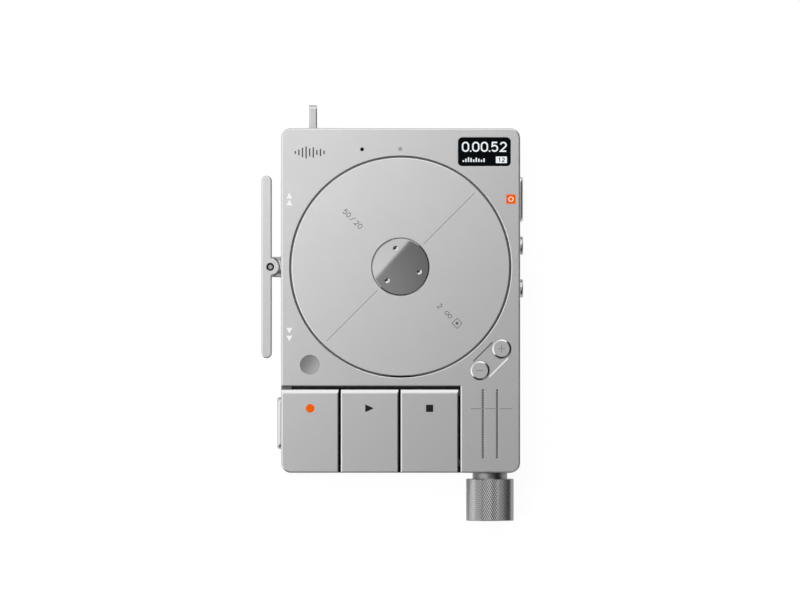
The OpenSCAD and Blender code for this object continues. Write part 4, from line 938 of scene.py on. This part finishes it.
def shaded_towards(tree, side, stops):
    """Brightness of the room by direction: a ramp over its lean towards one side, from -1 to 1."""
    place = tree.nodes.new("ShaderNodeTexCoord")
    along = tree.nodes.new("ShaderNodeVectorMath")
    along.operation = "DOT_PRODUCT"
    along.inputs[1].default_value = side
    share = tree.nodes.new("ShaderNodeMapRange")
    share.inputs["From Min"].default_value = -1
    tree.links.new(place.outputs["Generated"], along.inputs[0])
    tree.links.new(along.outputs["Value"], share.inputs["Value"])
    return ramp(tree, [((at + 1) / 2, level) for at, level in stops], share.outputs["Result"])


def room_light():
    """A dim room, brighter on the lamp's side, low on the far side and a little on the lower left."""
    room = bpy.data.worlds.new("room")
    room.use_nodes = True
    tree = room.node_tree
    both = tree.nodes.new("ShaderNodeMix")
    both.data_type = "RGBA"
    both.blend_type = "ADD"
    both.inputs["Factor"].default_value = 1
    tree.links.new(shaded_towards(tree, KEY_SIDE, KEY_RAMP), both.inputs["A"])
    tree.links.new(shaded_towards(tree, FILL_SIDE, FILL_RAMP), both.inputs["B"])
    tree.links.new(both.outputs["Result"], tree.nodes["Background"].inputs["Color"])
    scene.world = room


def lamps():
    """Soft panels in a row over the upper left, the far one dimmer. The near edge runs past the hub."""
    near = LAMP_EDGE
    for i, (depth, level) in enumerate(LAMP_PANELS):
        panel = bpy.data.lights.new(f"panel_{i}", "AREA")
        panel.shape = "RECTANGLE"
        panel.size = depth
        panel.size_y = LAMP_WIDTH
        panel.energy = level * math.pi * depth * LAMP_WIDTH
        made = bpy.data.objects.new(f"panel_{i}", panel)
        out = near + depth / 2
        x = REEL.x - out * math.sin(LAMP_TURN)
        y = REEL.y + out * math.cos(LAMP_TURN)
        made.location = (x, y, FACE_Z + LAMP_H)
        made.rotation_euler = (0, 0, LAMP_TURN - math.pi / 2)
        made.visible_camera = False
        scene.collection.objects.link(made)
        near += depth


FLOOR_R = 4.5
WALL_H = 0.7
FLOOR_SIDES = 96
FLOOR_DROP = 0.05 * MM
PAPER = 0.8
VEIL = 0.12
WHITE_LEVEL = 0.93


def pale_ground():
    """White stage to the camera, to metal and to glass, which still takes the object's shadow."""
    made = bpy.data.materials.new("pale_ground")
    made.use_nodes = True
    nodes, links = made.node_tree.nodes, made.node_tree.links
    nodes.remove(nodes["Principled BSDF"])
    path = nodes.new("ShaderNodeLightPath")
    first = nodes.new("ShaderNodeMath")
    first.operation = "MAXIMUM"
    second = nodes.new("ShaderNodeMath")
    second.operation = "MAXIMUM"
    links.new(path.outputs["Is Camera Ray"], first.inputs[0])
    links.new(path.outputs["Is Glossy Ray"], first.inputs[1])
    links.new(first.outputs[0], second.inputs[0])
    links.new(path.outputs["Is Transmission Ray"], second.inputs[1])
    paper = nodes.new("ShaderNodeBsdfDiffuse")
    paper.inputs["Color"].default_value = (PAPER, PAPER, PAPER, 1)
    veil = nodes.new("ShaderNodeBsdfDiffuse")
    veil.inputs["Color"].default_value = (VEIL, VEIL, VEIL, 1)
    glow = nodes.new("ShaderNodeEmission")
    glow.inputs["Strength"].default_value = WHITE_LEVEL
    seen = nodes.new("ShaderNodeAddShader")
    links.new(veil.outputs[0], seen.inputs[0])
    links.new(glow.outputs[0], seen.inputs[1])
    mix = nodes.new("ShaderNodeMixShader")
    links.new(second.outputs[0], mix.inputs[0])
    links.new(paper.outputs[0], mix.inputs[1])
    links.new(seen.outputs[0], mix.inputs[2])
    links.new(mix.outputs[0], nodes["Material Output"].inputs["Surface"])
    return made


def ground():
    """Round floor with a low upright rim far away."""
    rim = arc(0, 0, FLOOR_R, FLOOR_R, 0, 360, FLOOR_SIDES)[:-1]
    verts = [(x, y, -FLOOR_DROP) for x, y in rim] + [(x, y, WALL_H) for x, y in rim]
    faces = [tuple(range(FLOOR_SIDES))]
    for i in range(FLOOR_SIDES):
        j = (i + 1) % FLOOR_SIDES
        faces.append((i, FLOOR_SIDES + i, FLOOR_SIDES + j, j))
    mesh = bpy.data.meshes.new("ground")
    mesh.from_pydata(verts, [], faces)
    mesh.materials.append(pale_ground())
    made = bpy.data.objects.new("ground", mesh)
    scene.collection.objects.link(made)


def main():
    scene.view_settings.view_transform = "Standard"
    camera()
    lamps()
    room_light()
    ground()
    dress_nodes()
    knurled_knob()
    reel_marks()
    rocker_arrows()
    key_signs()
    button_signs()
    meter_lines()
    badge()
    memo_mark()
    display_picture()
    pivot_shade_ring()
    pivot_shade_rim()
    recess_ends()
    gap_shade_strips()
    key_springs()
    screw_socket_shade()
    ledge_shade_strip()


main()
